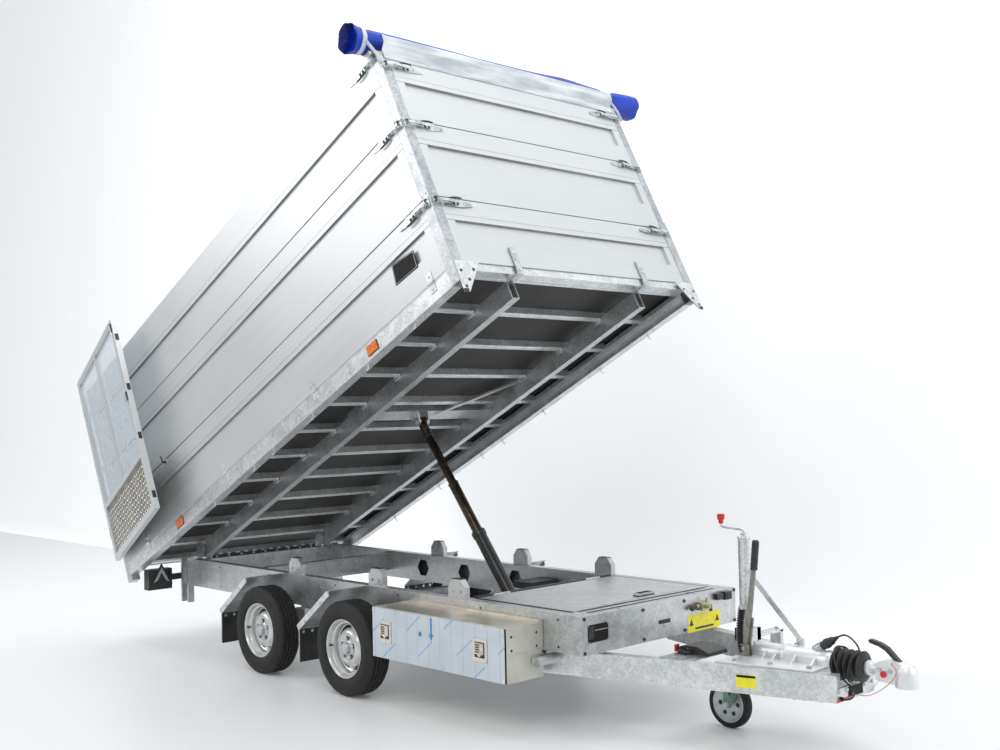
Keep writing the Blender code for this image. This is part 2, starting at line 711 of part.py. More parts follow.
def handbrake():
    """The handbrake lever, its grip, spring sleeve and foot."""
    y = -0.075
    foot = box((FLANGE_REAR + 0.002, 2.575), (y - 0.012, y + 0.012), (ARM_TOP + 0.008 + TOUCH, 0.430))
    lever = bar((2.540, y, 0.410), (2.606, y, 0.800), 0.012, 0.024)
    grip = rod((2.603, y, 0.790), (2.620, y, 0.925), 0.017, 12)
    sleeve = rod((2.520, y - 0.004, 0.415), (2.528, y - 0.004, 0.600), 0.020, 12)
    return fuse(foot, lever, grip, sleeve)


def jockey_outer():
    """The jockey wheel's outer tube with crank, clamp, bracket and stay."""
    x, y = JOCKEY_X, JOCKEY_Y
    z0, z1 = OUTER_TUBE_Z
    tube = rod((x, y, z0), (x, y, z1), OUTER_TUBE_RADIUS, 20)
    clamp = box((x - 0.040, x + 0.040), (y - 0.038, y + 0.060), (0.430, 0.490))
    reach = box((x - 0.030, x + 0.030), (y + 0.050, 0.305), (0.440, 0.452))
    foot = box((x - 0.030, x + 0.030), (0.280, 0.305), (ARM_TOP + TOUCH, 0.450))
    shaft = rod((x, y, z1 - 0.005), (x, y, 0.960), 0.008, 10)
    crank = bar((x + 0.010, y, 0.955), (x - 0.140, y, 0.965), 0.014, 0.012)
    knob = rod((x - 0.132, y, 0.962), (x - 0.132, y, 1.015), 0.018, 12)
    stay = bar((x + 0.020, y, 0.745), (x + 0.315, 0.030, 0.460), 0.012, 0.028)
    stay_foot = box((x + 0.290, x + 0.330), (0.010, 0.045), (HOUSING_Z + HOUSING_RADIUS + 0.004, 0.475))
    solid = fuse(tube, clamp, reach, foot, shaft, crank, knob, stay, stay_foot)
    bore = rod((x, y, z0 - 0.01), (x, y, z1 - 0.010), INNER_TUBE_RADIUS + SLIDE_FIT, 20)
    return cut(solid, bore)


def jockey_inner():
    """The sliding inner tube, from its foot up."""
    return rod((0, 0, 0), (0, 0, 0.540), INNER_TUBE_RADIUS, 20)


def jockey_fork():
    """The caster fork below the inner tube."""
    plate_top = box((-JOCKEY_TRAIL - 0.020, 0.032), (-0.037, 0.037), (-0.012, 0))
    drop = FORK_TOP - JOCKEY_RADIUS
    adds = []
    for side in (-1, 1):
        y = sorted((side * (JOCKEY_WIDTH / 2 + RUN), side * (JOCKEY_WIDTH / 2 + RUN + 0.005)))
        ring = [(-JOCKEY_TRAIL - 0.018, -drop + 0.005), (-JOCKEY_TRAIL, -drop - 0.018),
                (-JOCKEY_TRAIL + 0.022, -drop), (0.030, -0.010), (-JOCKEY_TRAIL - 0.015, -0.010)]
        adds.append(plate([ring], "XZ", *y))
    return fuse(plate_top, *adds)


def jockey_wheel():
    """The jockey wheel about its own axle."""
    half = JOCKEY_WIDTH / 2
    r = JOCKEY_RADIUS
    profile = [(0, -half - RUN + 0.0005), (0.018, -half - RUN + 0.0005), (0.018, -half + 0.010),
               (r * 0.68, -half + 0.010), (r * 0.68, -half + 0.002), (r * 0.93, -half), (r, -half + 0.010),
               (r, half - 0.010), (r * 0.93, half), (r * 0.68, half - 0.002),
               (r * 0.68, half - 0.010), (0.018, half - 0.010), (0.018, half + RUN - 0.0005),
               (0, half + RUN - 0.0005)]
    return turned(profile, "Y", 24)


def light_bar():
    """The rear light bar with its two lamp housings."""
    x = BEAM_REAR - REAR_MEMBER - 2 * TOUCH
    solid = box((x - 0.080, x - 0.050), (-LIGHT_BAR_HALF, LIGHT_BAR_HALF), LIGHT_BAR_Z)
    adds = []
    for side in (-1, 1):
        arm_y = sorted((side * 0.300, side * 0.340))
        adds.append(box((x - 0.060, x), arm_y, LIGHT_BAR_Z))
        lamp_y = sorted((side * (LIGHT_BAR_HALF - 0.030), side * LAMP_OUT))
        adds.append(box((x - 0.140, x - 0.070), lamp_y, (0.370, 0.510)))
    return fuse(solid, *adds)


# Wheels

def tyre():
    """A tyre with four tread grooves, about its own axis."""
    half = TYRE_WIDTH / 2
    r = TYRE_RADIUS
    groove = 0.007
    ring = [(RIM_RADIUS - 0.003, -half + 0.018), (RIM_RADIUS + 0.012, -half + 0.006),
            (r - 0.052, -half), (r - 0.014, -half + 0.010), (r, -half + 0.024)]
    for centre in (-0.036, -0.012, 0.012, 0.036):
        ring += [(r, centre - 0.004), (r - groove, centre), (r, centre + 0.004)]
    ring += [(r, half - 0.024), (r - 0.014, half - 0.010), (r - 0.052, half),
             (RIM_RADIUS + 0.012, half - 0.006), (RIM_RADIUS - 0.003, half - 0.018)]
    return turned(ring, "Y", WHEEL_STEPS, closed=True)


def rim(side):
    """A pressed rim with dished disc, hub cap and brake drum; side is its outer direction."""
    half = TYRE_WIDTH / 2
    r = RIM_RADIUS - 0.003 - TOUCH
    drum = DRUM_RADIUS
    inner = BEAM_OUT + 0.012 + ARM_PLATE + 0.003 + 0.0007 - WHEEL_Y
    profile = [(0, inner), (drum, inner), (drum, 0.005), (r - 0.018, 0.000),
               (r - 0.018, -half + 0.022), (r - 0.004, -half + 0.012),
               (r, -half + 0.018), (r, half - 0.018), (r - 0.004, half - 0.010),
               (r - 0.010, half - 0.012), (r - 0.018, half - 0.024), (r - 0.020, 0.018),
               (0.112, 0.012), (0.100, 0.026), (0.080, 0.040), (0.036, 0.036),
               (0.032, 0.062), (0, 0.064)]
    return turned([(a, side * b) for a, b in profile], "Y", WHEEL_STEPS)


# Bed

def bed_frame():
    """The bed's ladder frame: side rails, cross members and the front corner gussets."""
    rail_in = BED_OUT - POST
    start = BED_REAR + POST + TOUCH
    stop = BED_FRONT - POST - TOUCH
    low = TUBE_LOW + TUBE_HEIGHT + TOUCH
    tools = []
    for side in (-1, 1):
        y = sorted((side * rail_in, side * BED_OUT))
        rail = box((start, stop), y, (RAIL_LOW, RAIL_TOP))
        groove_y = sorted((side * (rail_in - 0.01), side * (BED_OUT - 0.006)))
        groove = box((start - 0.01, stop + 0.01), groove_y, (RAIL_LOW + 0.006, RAIL_TOP - 0.024))
        tools.append(cut(rail, groove))
        face = BED_FRONT + POST_STEP + TOUCH
        ring = [(side * BED_OUT, CROSS_TOP), (side * BED_OUT, GUSSET_LOW),
                (side * (BED_OUT - 0.035), GUSSET_LOW), (side * GUSSET_IN, CROSS_TOP - 0.010),
                (side * GUSSET_IN, CROSS_TOP)]
        gusset = plate([ring], "YZ", face, face + GUSSET_SHEET)
        link_y = sorted((side * GUSSET_IN, side * (rail_in - 0.002)))
        link = box((BED_FRONT - 0.010, face + 0.003), link_y, (CROSS_TOP - 0.020, CROSS_TOP))
        tools += [gusset, link]
    span = (BED_FRONT - BED_REAR - 2 * CROSS_WIDTH) / (CROSS_COUNT - 1)
    reach = rail_in + 0.004
    for k in range(CROSS_COUNT):
        u = BED_REAR + CROSS_WIDTH + k * span
        half = CROSS_WIDTH / 2 + (0.012 if k in (0, CROSS_COUNT - 1) else 0)
        end = rail_in - TOUCH if k in (0, CROSS_COUNT - 1) else reach
        tools.append(box((u - half, u + half), (-end, end), (low, CROSS_TOP)))
    for u in (start, stop - 0.030):
        tools.append(box((u, u + 0.030), (-reach, reach), (low, CROSS_TOP)))
    return fuse(tools[0], *tools[1:])


def bed_subframe():
    """Two long tubes from the tipping hinge, with the ram's head bracket and the front hooks."""
    top = TUBE_LOW + TUBE_HEIGHT
    tools = []
    for side in (-1, 1):
        y = sorted((side * TUBE_Y - TUBE_WIDTH / 2, side * TUBE_Y + TUBE_WIDTH / 2))
        tube = box((-0.030, TUBE_FRONT), y, (TUBE_LOW, top))
        hollow_y = (y[0] + TUBE_WALL, y[1] - TUBE_WALL)
        hollow = box((0.040, TUBE_FRONT + 0.020), hollow_y, (TUBE_LOW + TUBE_WALL, top - TUBE_WALL))
        tools.append(cut(tube, hollow))
        boss = TUBE_WIDTH / 2 + RUN - PIN_FIT
        tools.append(rod((0, side * TUBE_Y - boss, 0), (0, side * TUBE_Y + boss, 0), HINGE_BOSS))
        hook_y = sorted((side * (TUBE_Y - HOOK_HALF), side * (TUBE_Y + HOOK_HALF)))
        face = BED_FRONT + 0.003
        tools.append(box((TUBE_FRONT - 0.040, face + 0.008), hook_y, (top - HOOK_BAR, top)))
        tools.append(box((face, face + 0.008), hook_y, (top - HOOK_BAR, HOOK_TOP)))
        y = sorted((side * HEAD_GAP, side * (HEAD_GAP + 0.010)))
        ring = [(HEAD_U - 0.030, HEAD_W - 0.012), (HEAD_U, HEAD_W - 0.030),
                (HEAD_U + 0.030, HEAD_W - 0.012), (HEAD_U + 0.050, top + 0.006),
                (HEAD_U - 0.050, top + 0.006)]
        tools.append(plate([ring], "XZ", *y))
    across = box((HEAD_U - 0.060, HEAD_U + 0.060), (-TUBE_Y, TUBE_Y), (top - 0.010, CROSS_TOP))
    brace = bar((HEAD_U + 0.010, 0.120, top - 0.009), (2.460, 0.490, top - 0.009), 0.030, 0.012)
    return fuse(tools[0], *tools[1:], across, brace)


def floor():
    """The floor sheet, notched around the four corner posts."""
    y = BED_OUT - BOARD - 0.002
    sheet = box((BED_REAR + 0.010, BED_FRONT - BOARD - TOUCH), (-y, y),
                (FLOOR_LOW, FLOOR_LOW + FLOOR))
    notch = POST + TOUCH
    corners = []
    for u in ((BED_REAR - 0.01, BED_REAR + notch), (BED_FRONT - notch, BED_FRONT + 0.01)):
        for side in (-1, 1):
            across = sorted((side * (BED_OUT - notch), side * (BED_OUT + 0.01)))
            corners.append(box(u, across, (FLOOR_LOW - 0.01, FLOOR_LOW + FLOOR + 0.01)))
    return cut(sheet, *corners)


def board(low, high, level):
    """The section of one hollow board with its sunk field, as (depth, height) points."""
    sunk = BOARD - FIELD_DEPTH
    field, top = FIELD_LOWS[level], FIELD_TOPS[level]
    return [(0, low), (BOARD, low), (BOARD, field), (sunk, field + FIELD_SLOPE),
            (sunk, top - FIELD_SLOPE), (BOARD, top), (BOARD, high - TOUCH), (0, high - TOUCH)]


def side_board(low, high, level):
    """A left side board."""
    ring = [(BED_OUT - BOARD + d, w) for d, w in board(low, high, level)]
    start = BED_REAR + POST + TOUCH
    stop = BED_FRONT - POST - TOUCH
    return plate([ring], "YZ", start, stop)


def front_board(low, high, level):
    """A board of the front wall."""
    ring = [(BED_FRONT - BOARD + d, w) for d, w in board(low, high, level)]
    y = BED_OUT - POST - TOUCH
    return plate([ring], "XZ", -y, y)


def latch():
    """An over-centre latch on a face at Y = 0: its base on the post at +X, its hasp at -X."""
    base = box((0.004, 0.050), (-0.002, 0.006), (-0.022, 0.022))
    lever = box((-0.120, 0.045), (0.0045, 0.014), (-0.009, 0.009))
    hasp = box((-0.115, -0.035), (TOUCH, 0.0055), (-0.018, 0.018))
    return fuse(lever, base, hasp)


def post(front):
    """A left corner post with its latches or its door hinges."""
    u = (BED_FRONT - POST, BED_FRONT) if front else (BED_REAR, BED_REAR + POST)
    y = (BED_OUT - POST, BED_OUT)
    top = POST_TOP if front else BOARD_TOPS[-1]
    solid = box(u, y, (RAIL_LOW, top))
    adds = []
    if front:
        for level, board_top in enumerate(BOARD_TOPS):
            out = POST_STEP if level == 0 else 0
            w = board_top - SIDE_LATCH_DROPS[level]
            side_latch = latch()
            side_latch.data.transform(Matrix.Translation((u[0], BED_OUT + out, w)))
            w = board_top - FRONT_LATCH_DROPS[level]
            front_latch = latch()
            front_latch.data.transform(Matrix.Translation((BED_FRONT + out, y[0], w))
                                       @ Matrix.Rotation(math.pi, 4, Vector((1, 1, 0))))
            adds += [side_latch, front_latch]
        step = box((u[0], BED_FRONT + POST_STEP), (y[0], BED_OUT + POST_STEP), (RAIL_LOW, STEP_TOP))
        adds.append(step)
    else:
        foot = box((u[0], u[1]), (y[0], BED_OUT), (-0.070, RAIL_LOW + 0.002))
        adds.append(foot)
        for height in LUG_HEIGHTS:
            lug = box((LEAF_HINGE_U - 0.010, u[0] + 0.015), (BED_OUT - 0.004, LEAF_HINGE_Y - 0.006),
                      (height - LUG_HALF, height + LUG_HALF))
            pin = rod((LEAF_HINGE_U, LEAF_HINGE_Y, height - LUG_HALF),
                      (LEAF_HINGE_U, LEAF_HINGE_Y, height + LUG_HALF), 0.010, 12)
            adds += [lug, pin]
    return fuse(solid, *adds)


def shield():
    """The folded sheet that shelters the rolled tarpaulin at the front."""
    face = BED_FRONT + TOUCH + SHIELD_SHEET
    outer = [(face, 1.335), (face, 1.386), (3.620, 1.412), (3.628, 1.470), (3.602, 1.560)]
    inner = [(u - SHIELD_SHEET, w + 0.001) for u, w in reversed(outer)]
    inner[-1] = (face - SHIELD_SHEET, outer[0][1])
    return plate([outer + inner], "XZ", -0.905, 0.905)


def tarp_roll():
    """The rolled tarpaulin, lying on the tops of the side boards."""
    w = BOARD_TOPS[-1] + ROLL_RADIUS
    return rod((ROLL_U, -ROLL_HALF, w), (ROLL_U, ROLL_HALF, w), ROLL_RADIUS, 20)


def leaf():
    """The right rear door leaf about its hinge, closed: frame, two mesh columns, foot plate."""
    start = 0.022
    stop = LEAF_HINGE_Y - 0.004
    low, high = LEAF_LOW, LEAF_TOP
    b = LEAF_BAR
    middle = (start + stop) / 2
    split = low + LEAF_PLATE
    outline = [(start, low), (stop, low), (stop, high), (start, high)]
    columns = ((start + b, middle - 0.012), (middle + 0.012, stop - b))
    holes = [[(a, split), (c, split), (c, high - b), (a, high - b)] for a, c in columns]
    half = LEAF_THICK / 2
    frame = plate([outline] + holes, "YZ", -half, half)
    tools = []
    for a, c in columns:
        for k in range(1, MESH_CELLS[0]):
            y = a + k * (c - a) / MESH_CELLS[0]
            tools.append(box((-0.0025, 0.0025), (y - MESH_WIRE, y + MESH_WIRE),
                             (split - 0.004, high - b + 0.004)))
        for k in range(1, MESH_CELLS[1]):
            z = split + k * (high - b - split) / MESH_CELLS[1]
            tools.append(box((-0.003, 0.003), (a - 0.004, c + 0.004),
                             (z - MESH_WIRE, z + MESH_WIRE)))
    pocket_y = (start + b, stop - b)
    hollows = [box((0.006, half + 0.01), pocket_y, (low + b, split - b)),
               box((-half - 0.01, -0.006), pocket_y, (low + b, split - b))]
    for height in LUG_HEIGHTS:
        hollows.append(box((-half - 0.01, half + 0.01), (start - 0.01, 0.045),
                           (height - LUG_HALF - RUN, height + LUG_HALF + RUN)))
        knuckle = (height + LUG_HALF + PIN_FIT, height + LUG_HALF + 0.038)
        tools.append(box((-0.010, 0.010), (0, start + 0.010), knuckle))
    return fuse(cut(frame, *hollows), *tools)


# Ram

def barrel():
    """The ram's barrel along X from its foot pin, bored for the first stage."""
    outer = rod((0.040, 0, 0), (BARREL_END, 0, 0), BARREL_RADIUS, 20)
    collar = rod((BARREL_END - 0.030, 0, 0), (BARREL_END, 0, 0), BARREL_RADIUS + 0.004, 20)
    reach = BARREL_RADIUS + RUN - PIN_FIT
    foot = rod((0, -reach, 0), (0, reach, 0), 0.030)
    link = box((0, 0.050), (-0.030, 0.030), (-0.026, 0.026))
    bore = rod((0.048, 0, 0), (BARREL_END + 0.01, 0, 0), STAGE_RADII[0] + SLIDE_FIT, 20)
    return cut(fuse(outer, collar, foot, link), bore)


def stage(index):
    """One moving stage along X; the last one carries the head eye."""
    if index == 0:
        outer = rod((STAGE_STARTS[0], 0, 0), (STAGE_ENDS[0], 0, 0), STAGE_RADII[0], 20)
        bore = rod((STAGE_STARTS[0] + 0.006, 0, 0), (STAGE_ENDS[0] + 0.01, 0, 0),
                   STAGE_RADII[1] + SLIDE_FIT, 20)
        return cut(outer, bore)
    reach = ram_length()
    outer = rod((STAGE_STARTS[1], 0, 0), (HEAD_START + 0.010, 0, 0), STAGE_RADII[1], 20)
    head = rod((HEAD_START, 0, 0), (reach - 0.010, 0, 0), HEAD_RADIUS, 20)
    eye = rod((reach, -EYE_HALF, 0), (reach, EYE_HALF, 0), EYE_RADIUS)
    return fuse(outer, head, eye)


def head_place():
    """Where the ram's head pin is with the bed raised, in the chassis frame."""
    return (HINGE_X + HEAD_U * math.cos(TIP) - HEAD_W * math.sin(TIP),
            HINGE_Z + HEAD_U * math.sin(TIP) + HEAD_W * math.cos(TIP))


def ram_length():
    x, z = head_place()
    return math.hypot(x - RAM_X, z - RAM_Z)


def ram_angle():
    x, z = head_place()
    return math.atan2(z - RAM_Z, x - RAM_X)


def build():
    """Make every piece and hang it on its body."""
    zinc = material("galvanised_steel", (0.55, 0.57, 0.58), 0.42, 0.85)
    alu = material("anodised_aluminium", (0.78, 0.79, 0.80), 0.38, 0.7)
    steel = material("silver_steel", (0.62, 0.62, 0.60), 0.35, 0.8)
    rubber = material("rubber", (0.02, 0.02, 0.022), 0.8, 0.0)
    black = material("black_paint", (0.02, 0.02, 0.02), 0.35, 0.2)
    red = material("red_plastic", (0.65, 0.02, 0.02), 0.4, 0.0)
    bronze = material("bronze_stage", (0.14, 0.10, 0.06), 0.25, 0.9)
    ply = material("dark_floor", (0.05, 0.045, 0.04), 0.6, 0.0)
    tarp = material("blue_tarpaulin", (0.02, 0.08, 0.55), 0.45, 0.0)

    root = body("trailer", None)
    chassis = body("body_chassis", root)

    node("beam_left", beam(), chassis, zinc)
    node("beam_right", mirrored(bpy.data.objects["beam_left"]), chassis, zinc)
    node("rear_cross_member", rear_member(), chassis, zinc)
    node("centre_cross_member", cross_member(CROSS_X), chassis, zinc)
    node("ram_cradle", ram_cradle(), chassis, zinc)
    node("light_bar", light_bar(), chassis, black)
    node("front_compartment", compartment(), chassis, zinc)
    rear, low = BOX_REAR + POWER_GAP, BEAM_LOW + 0.002 + BOX_SHEET + TOUCH
    power = box((rear, rear + POWER_SIZE[0]), (-0.050 - POWER_SIZE[1], -0.050),
                (low, low + POWER_SIZE[2]))
    node("power_unit", power, chassis, black)
    node("toolbox", toolbox(), chassis, steel)
    node("drawbar", drawbar(), chassis, zinc)
    node("overrun_housing", overrun_housing(), chassis, alu)
    node("bellows", bellows(), chassis, rubber)
    node("coupling_head", coupling(), chassis, alu)
    node("handbrake", handbrake(), chassis, black)
    node("jockey_outer_tube", jockey_outer(), chassis, zinc)
    node("plug", plug(), chassis, rubber)
    node("plug_cable", cord(cable_knots(), CABLE_STEPS, CABLE_RADIUS), chassis, rubber)
    node("breakaway_cable", cord(wire_knots(), WIRE_STEPS, WIRE_RADIUS), chassis, red)

    for row, x in (("rear", -AXLE_SPACING / 2), ("front", AXLE_SPACING / 2)):
        node(f"axle_{row}", axle(), chassis, zinc, (x, 0, 0))
        guard = mudguard()
        node(f"mudguard_{row}_right", mirrored(guard), chassis, zinc, (x, 0, 0))
        node(f"mudguard_{row}_left", guard, chassis, zinc, (x, 0, 0))
        for name, side in (("right", -1), ("left", 1)):
            wheel = body(f"body_wheel_{row}_{name}", root, (x, side * WHEEL_Y, TYRE_RADIUS))
            node(f"tyre_{row}_{name}", tyre(), wheel, rubber)
            node(f"rim_{row}_{name}", rim(side), wheel, steel)

    lid_body = body("body_lid", root, (LID_REAR, 0, BEAM_TOP - 0.001 + LID_SHEET / 2 + TOUCH))
    node("compartment_lid", lid(), lid_body, zinc)
    door_body = body("body_toolbox_door", root, ((TOOLBOX_REAR + TOOLBOX_FRONT) / 2,
                                                 -TOOLBOX_OUT - DOOR_THICK - TOUCH, TOOLBOX_LOW))
    node("toolbox_door", toolbox_door(), door_body, steel)

    slide = body("body_jockey_inner", root, (JOCKEY_X, JOCKEY_Y, FORK_TOP + TOUCH))
    node("jockey_inner_tube", jockey_inner(), slide, zinc)
    swivel = body("body_jockey_fork", slide, (0, 0, -TOUCH))
    node("jockey_fork", jockey_fork(), swivel, zinc)
    caster = body("body_jockey_wheel", swivel, (-JOCKEY_TRAIL, 0, JOCKEY_RADIUS - FORK_TOP))
    node("jockey_wheel", jockey_wheel(), caster, rubber)

    bed = body("body_bed", root, (HINGE_X, 0, HINGE_Z), (0, -TIP, 0))
    node("bed_frame", bed_frame(), bed, zinc)
    node("bed_subframe", bed_subframe(), bed, zinc)
    node("bed_floor", floor(), bed, ply)
    node("front_shield", shield(), bed, alu)
    node("tarpaulin_roll", tarp_roll(), bed, tarp)
    lows = (RAIL_TOP + TOUCH, BOARD_TOPS[0] + TOUCH, BOARD_TOPS[1] + TOUCH)
    front_lows = (FLOOR_LOW, *lows[1:])
    front_tops = BOARD_TOPS[:2] + (POST_TOP,)
    for level, name in enumerate(("lower", "middle", "upper")):
        wall = side_board(lows[level], BOARD_TOPS[level], level)
        node(f"side_board_{name}_right", mirrored(wall), bed, alu)
        node(f"side_board_{name}_left", wall, bed, alu)
        wall = front_board(front_lows[level], front_tops[level], level)
        node(f"front_board_{name}", wall, bed, alu)
    for name, front in (("front", True), ("rear", False)):
        left = post(front)
        node(f"post_{name}_right", mirrored(left), bed, zinc)
        node(f"post_{name}_left", left, bed, zinc)
    right_leaf = leaf()
    left_leaf = mirrored(right_leaf)
    for name, side, door in (("right", -1, right_leaf), ("left", 1, left_leaf)):
        turn = (0, 0, -side * math.radians(LEAF_OPEN_DEG))
        hinge = body(f"body_leaf_{name}", bed, (LEAF_HINGE_U, side * LEAF_HINGE_Y, 0), turn)
        node(f"rear_leaf_{name}", door, hinge, alu)

    ram = body("body_ram_barrel", root, (RAM_X, 0, RAM_Z), (0, -ram_angle(), 0))
    node("ram_barrel", barrel(), ram, black)
    first = body("body_ram_stage_1", ram)
    node("ram_stage_1", stage(0), first, bronze)
    last = body("body_ram_stage_2", first)
    node("ram_stage_2", stage(1), last, bronze)
    centre_on_origin(root)


def centre_on_origin(root):
    """Move the trailer along X until its bounding box is centred on the origin."""
    bpy.context.view_layer.update()
    places = [obj.matrix_world @ vertex.co for obj in COLLECTION.objects if obj.type == "MESH"
              for vertex in obj.data.vertices]
    xs = [place.x for place in places]
    root.location.x = -(min(xs) + max(xs)) / 2
    bpy.context.view_layer.update()


def main():
    global COLLECTION
    clear_scene()
    COLLECTION = bpy.data.collections.new("dump_trailer")
    bpy.context.scene.collection.children.link(COLLECTION)
    build()


main()
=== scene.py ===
"""Looks of a tandem dump trailer with its bed raised: materials, small parts, stage and camera.

Chassis pieces are placed in a frame whose X runs forward from the midpoint between the axles
(matrix CHASSIS), bed pieces in the bed's own frame: U forward, Y left, W square to the floor
(matrix BED).
"""
import json
import math

import bmesh
import bpy
from bpy.props import FloatProperty, FloatVectorProperty, IntProperty, PointerProperty
from mathutils import Matrix, Vector


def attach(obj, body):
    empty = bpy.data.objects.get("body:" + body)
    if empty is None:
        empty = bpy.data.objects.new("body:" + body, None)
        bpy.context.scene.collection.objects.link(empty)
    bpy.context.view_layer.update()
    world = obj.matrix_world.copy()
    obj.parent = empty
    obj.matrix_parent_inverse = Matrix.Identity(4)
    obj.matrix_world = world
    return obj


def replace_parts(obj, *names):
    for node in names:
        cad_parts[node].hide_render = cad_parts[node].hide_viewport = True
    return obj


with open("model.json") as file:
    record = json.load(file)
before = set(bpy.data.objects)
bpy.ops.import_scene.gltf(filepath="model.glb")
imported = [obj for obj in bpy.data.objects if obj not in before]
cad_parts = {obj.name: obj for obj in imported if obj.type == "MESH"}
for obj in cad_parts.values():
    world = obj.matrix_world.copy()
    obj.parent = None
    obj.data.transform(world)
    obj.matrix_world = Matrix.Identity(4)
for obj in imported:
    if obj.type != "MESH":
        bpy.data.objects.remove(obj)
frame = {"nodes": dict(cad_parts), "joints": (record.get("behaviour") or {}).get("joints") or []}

bl_info = {
    "name": "Dump trailer dressing",
    "version": (1, 0, 0),
    "blender": (4, 5, 0),
    "location": "3D View > Sidebar > Trailer",
    "description": "Materials, small parts, stage and camera for a raised dump trailer",
    "category": "Object",
}


def joint_place(name):
    """Where a joint of the frame lies."""
    for joint in frame["joints"]:
        if joint["name"] == name:
            return Vector(joint["pos_m"])
    raise RuntimeError(f"the frame has no joint {name}")


def joint_low(name):
    """The low limit of a hinge, in degrees."""
    for joint in frame["joints"]:
        if joint["name"] == name:
            return joint["range_deg"][0]
    raise RuntimeError(f"the frame has no joint {name}")


AXLES = (joint_place("wheel_rear_left_roll"), joint_place("wheel_front_left_roll"))
CHASSIS = Matrix.Translation(((AXLES[0].x + AXLES[1].x) / 2, 0, 0))
BED = (Matrix.Translation(joint_place("bed_tip"))
       @ Matrix.Rotation(math.radians(joint_low("bed_tip")), 4, "Y"))

# Sizes that the pieces share with the solids, in metres
BED_OUT, BED_REAR, BED_FRONT = 0.9385, -0.370, 3.583
POST, BOARD, STEP = 0.060, 0.025, 0.004
RAIL_LOW, RAIL_TOP = -0.034, 0.062
FLOOR_LOW = 0.078
BOARD_TOPS = (0.464, 0.940, 1.430)
FRONT_TOP = 1.380
FIELDS = ((0.202, 0.330), (0.637, 0.793), (1.070, 1.195))
SIDE_LATCHES = (0.432, 0.915, 1.355)
FRONT_LATCHES = (0.430, 0.910, 1.290)
TUBE_Y, TUBE_HALF, TUBE_FRONT = 0.500, 0.025, 3.500
BEAM_OUT, BEAM_LOW, BEAM_TOP, BEAM_FRONT = 0.6076, 0.390, 0.574, 2.004
STEP_HIGH = 0.510
CROSS_LOW = 0.0403
GUSSET_LOW, GUSSET_SHEET = -0.100, 0.0055
TOUCH = 0.0003
HINGE = CHASSIS.inverted() @ joint_place("bed_tip")
TIP = math.radians(joint_low("bed_tip"))
SPAN = (BED_REAR + POST + TOUCH, BED_FRONT - POST - TOUCH)
HANDS = ((-1, "right"), (1, "left"))
SIDES = (-1, 1)
BOLT_SINK, WASHER_HIGH = 0.001, 0.002       # how deep a bolt's foot goes into its face
WASHER_SHARE, CORNER_SHARE = 0.72, 1.15     # a washer's radius and a head's corners, to its size


def both(side, a, b):
    """A range across the trailer, given for the left side and taken to either side."""
    return sorted((side * a, side * b))


class Wire:
    """A socket of a material's nodes that takes part in sums."""

    def __init__(self, net, socket):
        self.net = net
        self.socket = socket

    def math(self, operation, *others):
        values = dict(enumerate((self, *others)))
        return self.net.make("ShaderNodeMath", {"operation": operation}, values)

    def __add__(self, other):
        return self.math("ADD", other)

    def __sub__(self, other):
        return self.math("SUBTRACT", other)

    def __mul__(self, other):
        return self.math("MULTIPLY", other)

    def __truediv__(self, other):
        return self.math("DIVIDE", other)

    def __pow__(self, other):
        return self.math("POWER", other)

    def __radd__(self, other):
        return self.math("ADD", other)

    def __rmul__(self, other):
        return self.math("MULTIPLY", other)

    def __rsub__(self, other):
        return self.net.make("ShaderNodeMath", {"operation": "SUBTRACT"}, {0: other, 1: self})

    def __rtruediv__(self, other):
        return self.net.make("ShaderNodeMath", {"operation": "DIVIDE"}, {0: other, 1: self})

    def step(self, low, high):
        """0 below low, 1 above high and smooth between."""
        return self.net.make("ShaderNodeMapRange", {"interpolation_type": "SMOOTHSTEP"},
                             {"Value": self, "From Min": low, "From Max": high})

    def scaled(self, size):
        """A vector with each axis multiplied."""
        return self.net.make("ShaderNodeVectorMath", {"operation": "MULTIPLY"},
                             {0: self, 1: size})

    def axis(self, index):
        """One axis of a vector."""
        return self.net.make("ShaderNodeSeparateXYZ", {}, {0: self}, index)


class Net:
    """One material and its nodes."""

    def __init__(self, name, **constants):
        self.material = bpy.data.materials.new(name)
        self.material.use_nodes = True
        self.tree = self.material.node_tree
        self.shader = self.tree.nodes["Principled BSDF"]
        for key, value in constants.items():
            self.shader.inputs[key.replace("_", " ")].default_value = value

    def make(self, kind, settings, values, out=0):
        """A node of a type, with its settings set first, then its values and links."""
        node = self.tree.nodes.new(kind)
        for key, value in settings.items():
            setattr(node, key, value)
        for key, value in values.items():
            if isinstance(value, Wire):
                self.tree.links.new(value.socket, node.inputs[key])
            else:
                node.inputs[key].default_value = value
        return Wire(self, node.outputs[out])

    def place(self):
        """The piece's own coordinates."""
        return self.make("ShaderNodeTexCoord", {}, {}, "Object")

    def noise(self, vector, scale, detail=3.0, rough=0.55):
        values = {"Vector": vector, "Scale": scale, "Detail": detail, "Roughness": rough}
        return self.make("ShaderNodeTexNoise", {}, values)

    def cells(self, vector, scale):
        """One random value for each cell."""
        colour = self.make("ShaderNodeTexVoronoi", {}, {"Vector": vector, "Scale": scale}, "Color")
        return self.make("ShaderNodeSeparateColor", {}, {0: colour})

    def mix(self, factor, first, second):
        """A blend of two colours."""
        values = {0: factor, 6: rgba(first), 7: rgba(second)}
        return self.make("ShaderNodeMix", {"data_type": "RGBA"}, values, 2)

    def bump(self, height, strength, depth):
        values = {"Height": height, "Strength": strength, "Distance": depth}
        return self.make("ShaderNodeBump", {}, values)

    def feed(self, **sockets):
        """Link sockets of the shader and give the material back."""
        for key, wire in sockets.items():
            self.tree.links.new(wire.socket, self.shader.inputs[key.replace("_", " ")])
        return self.material


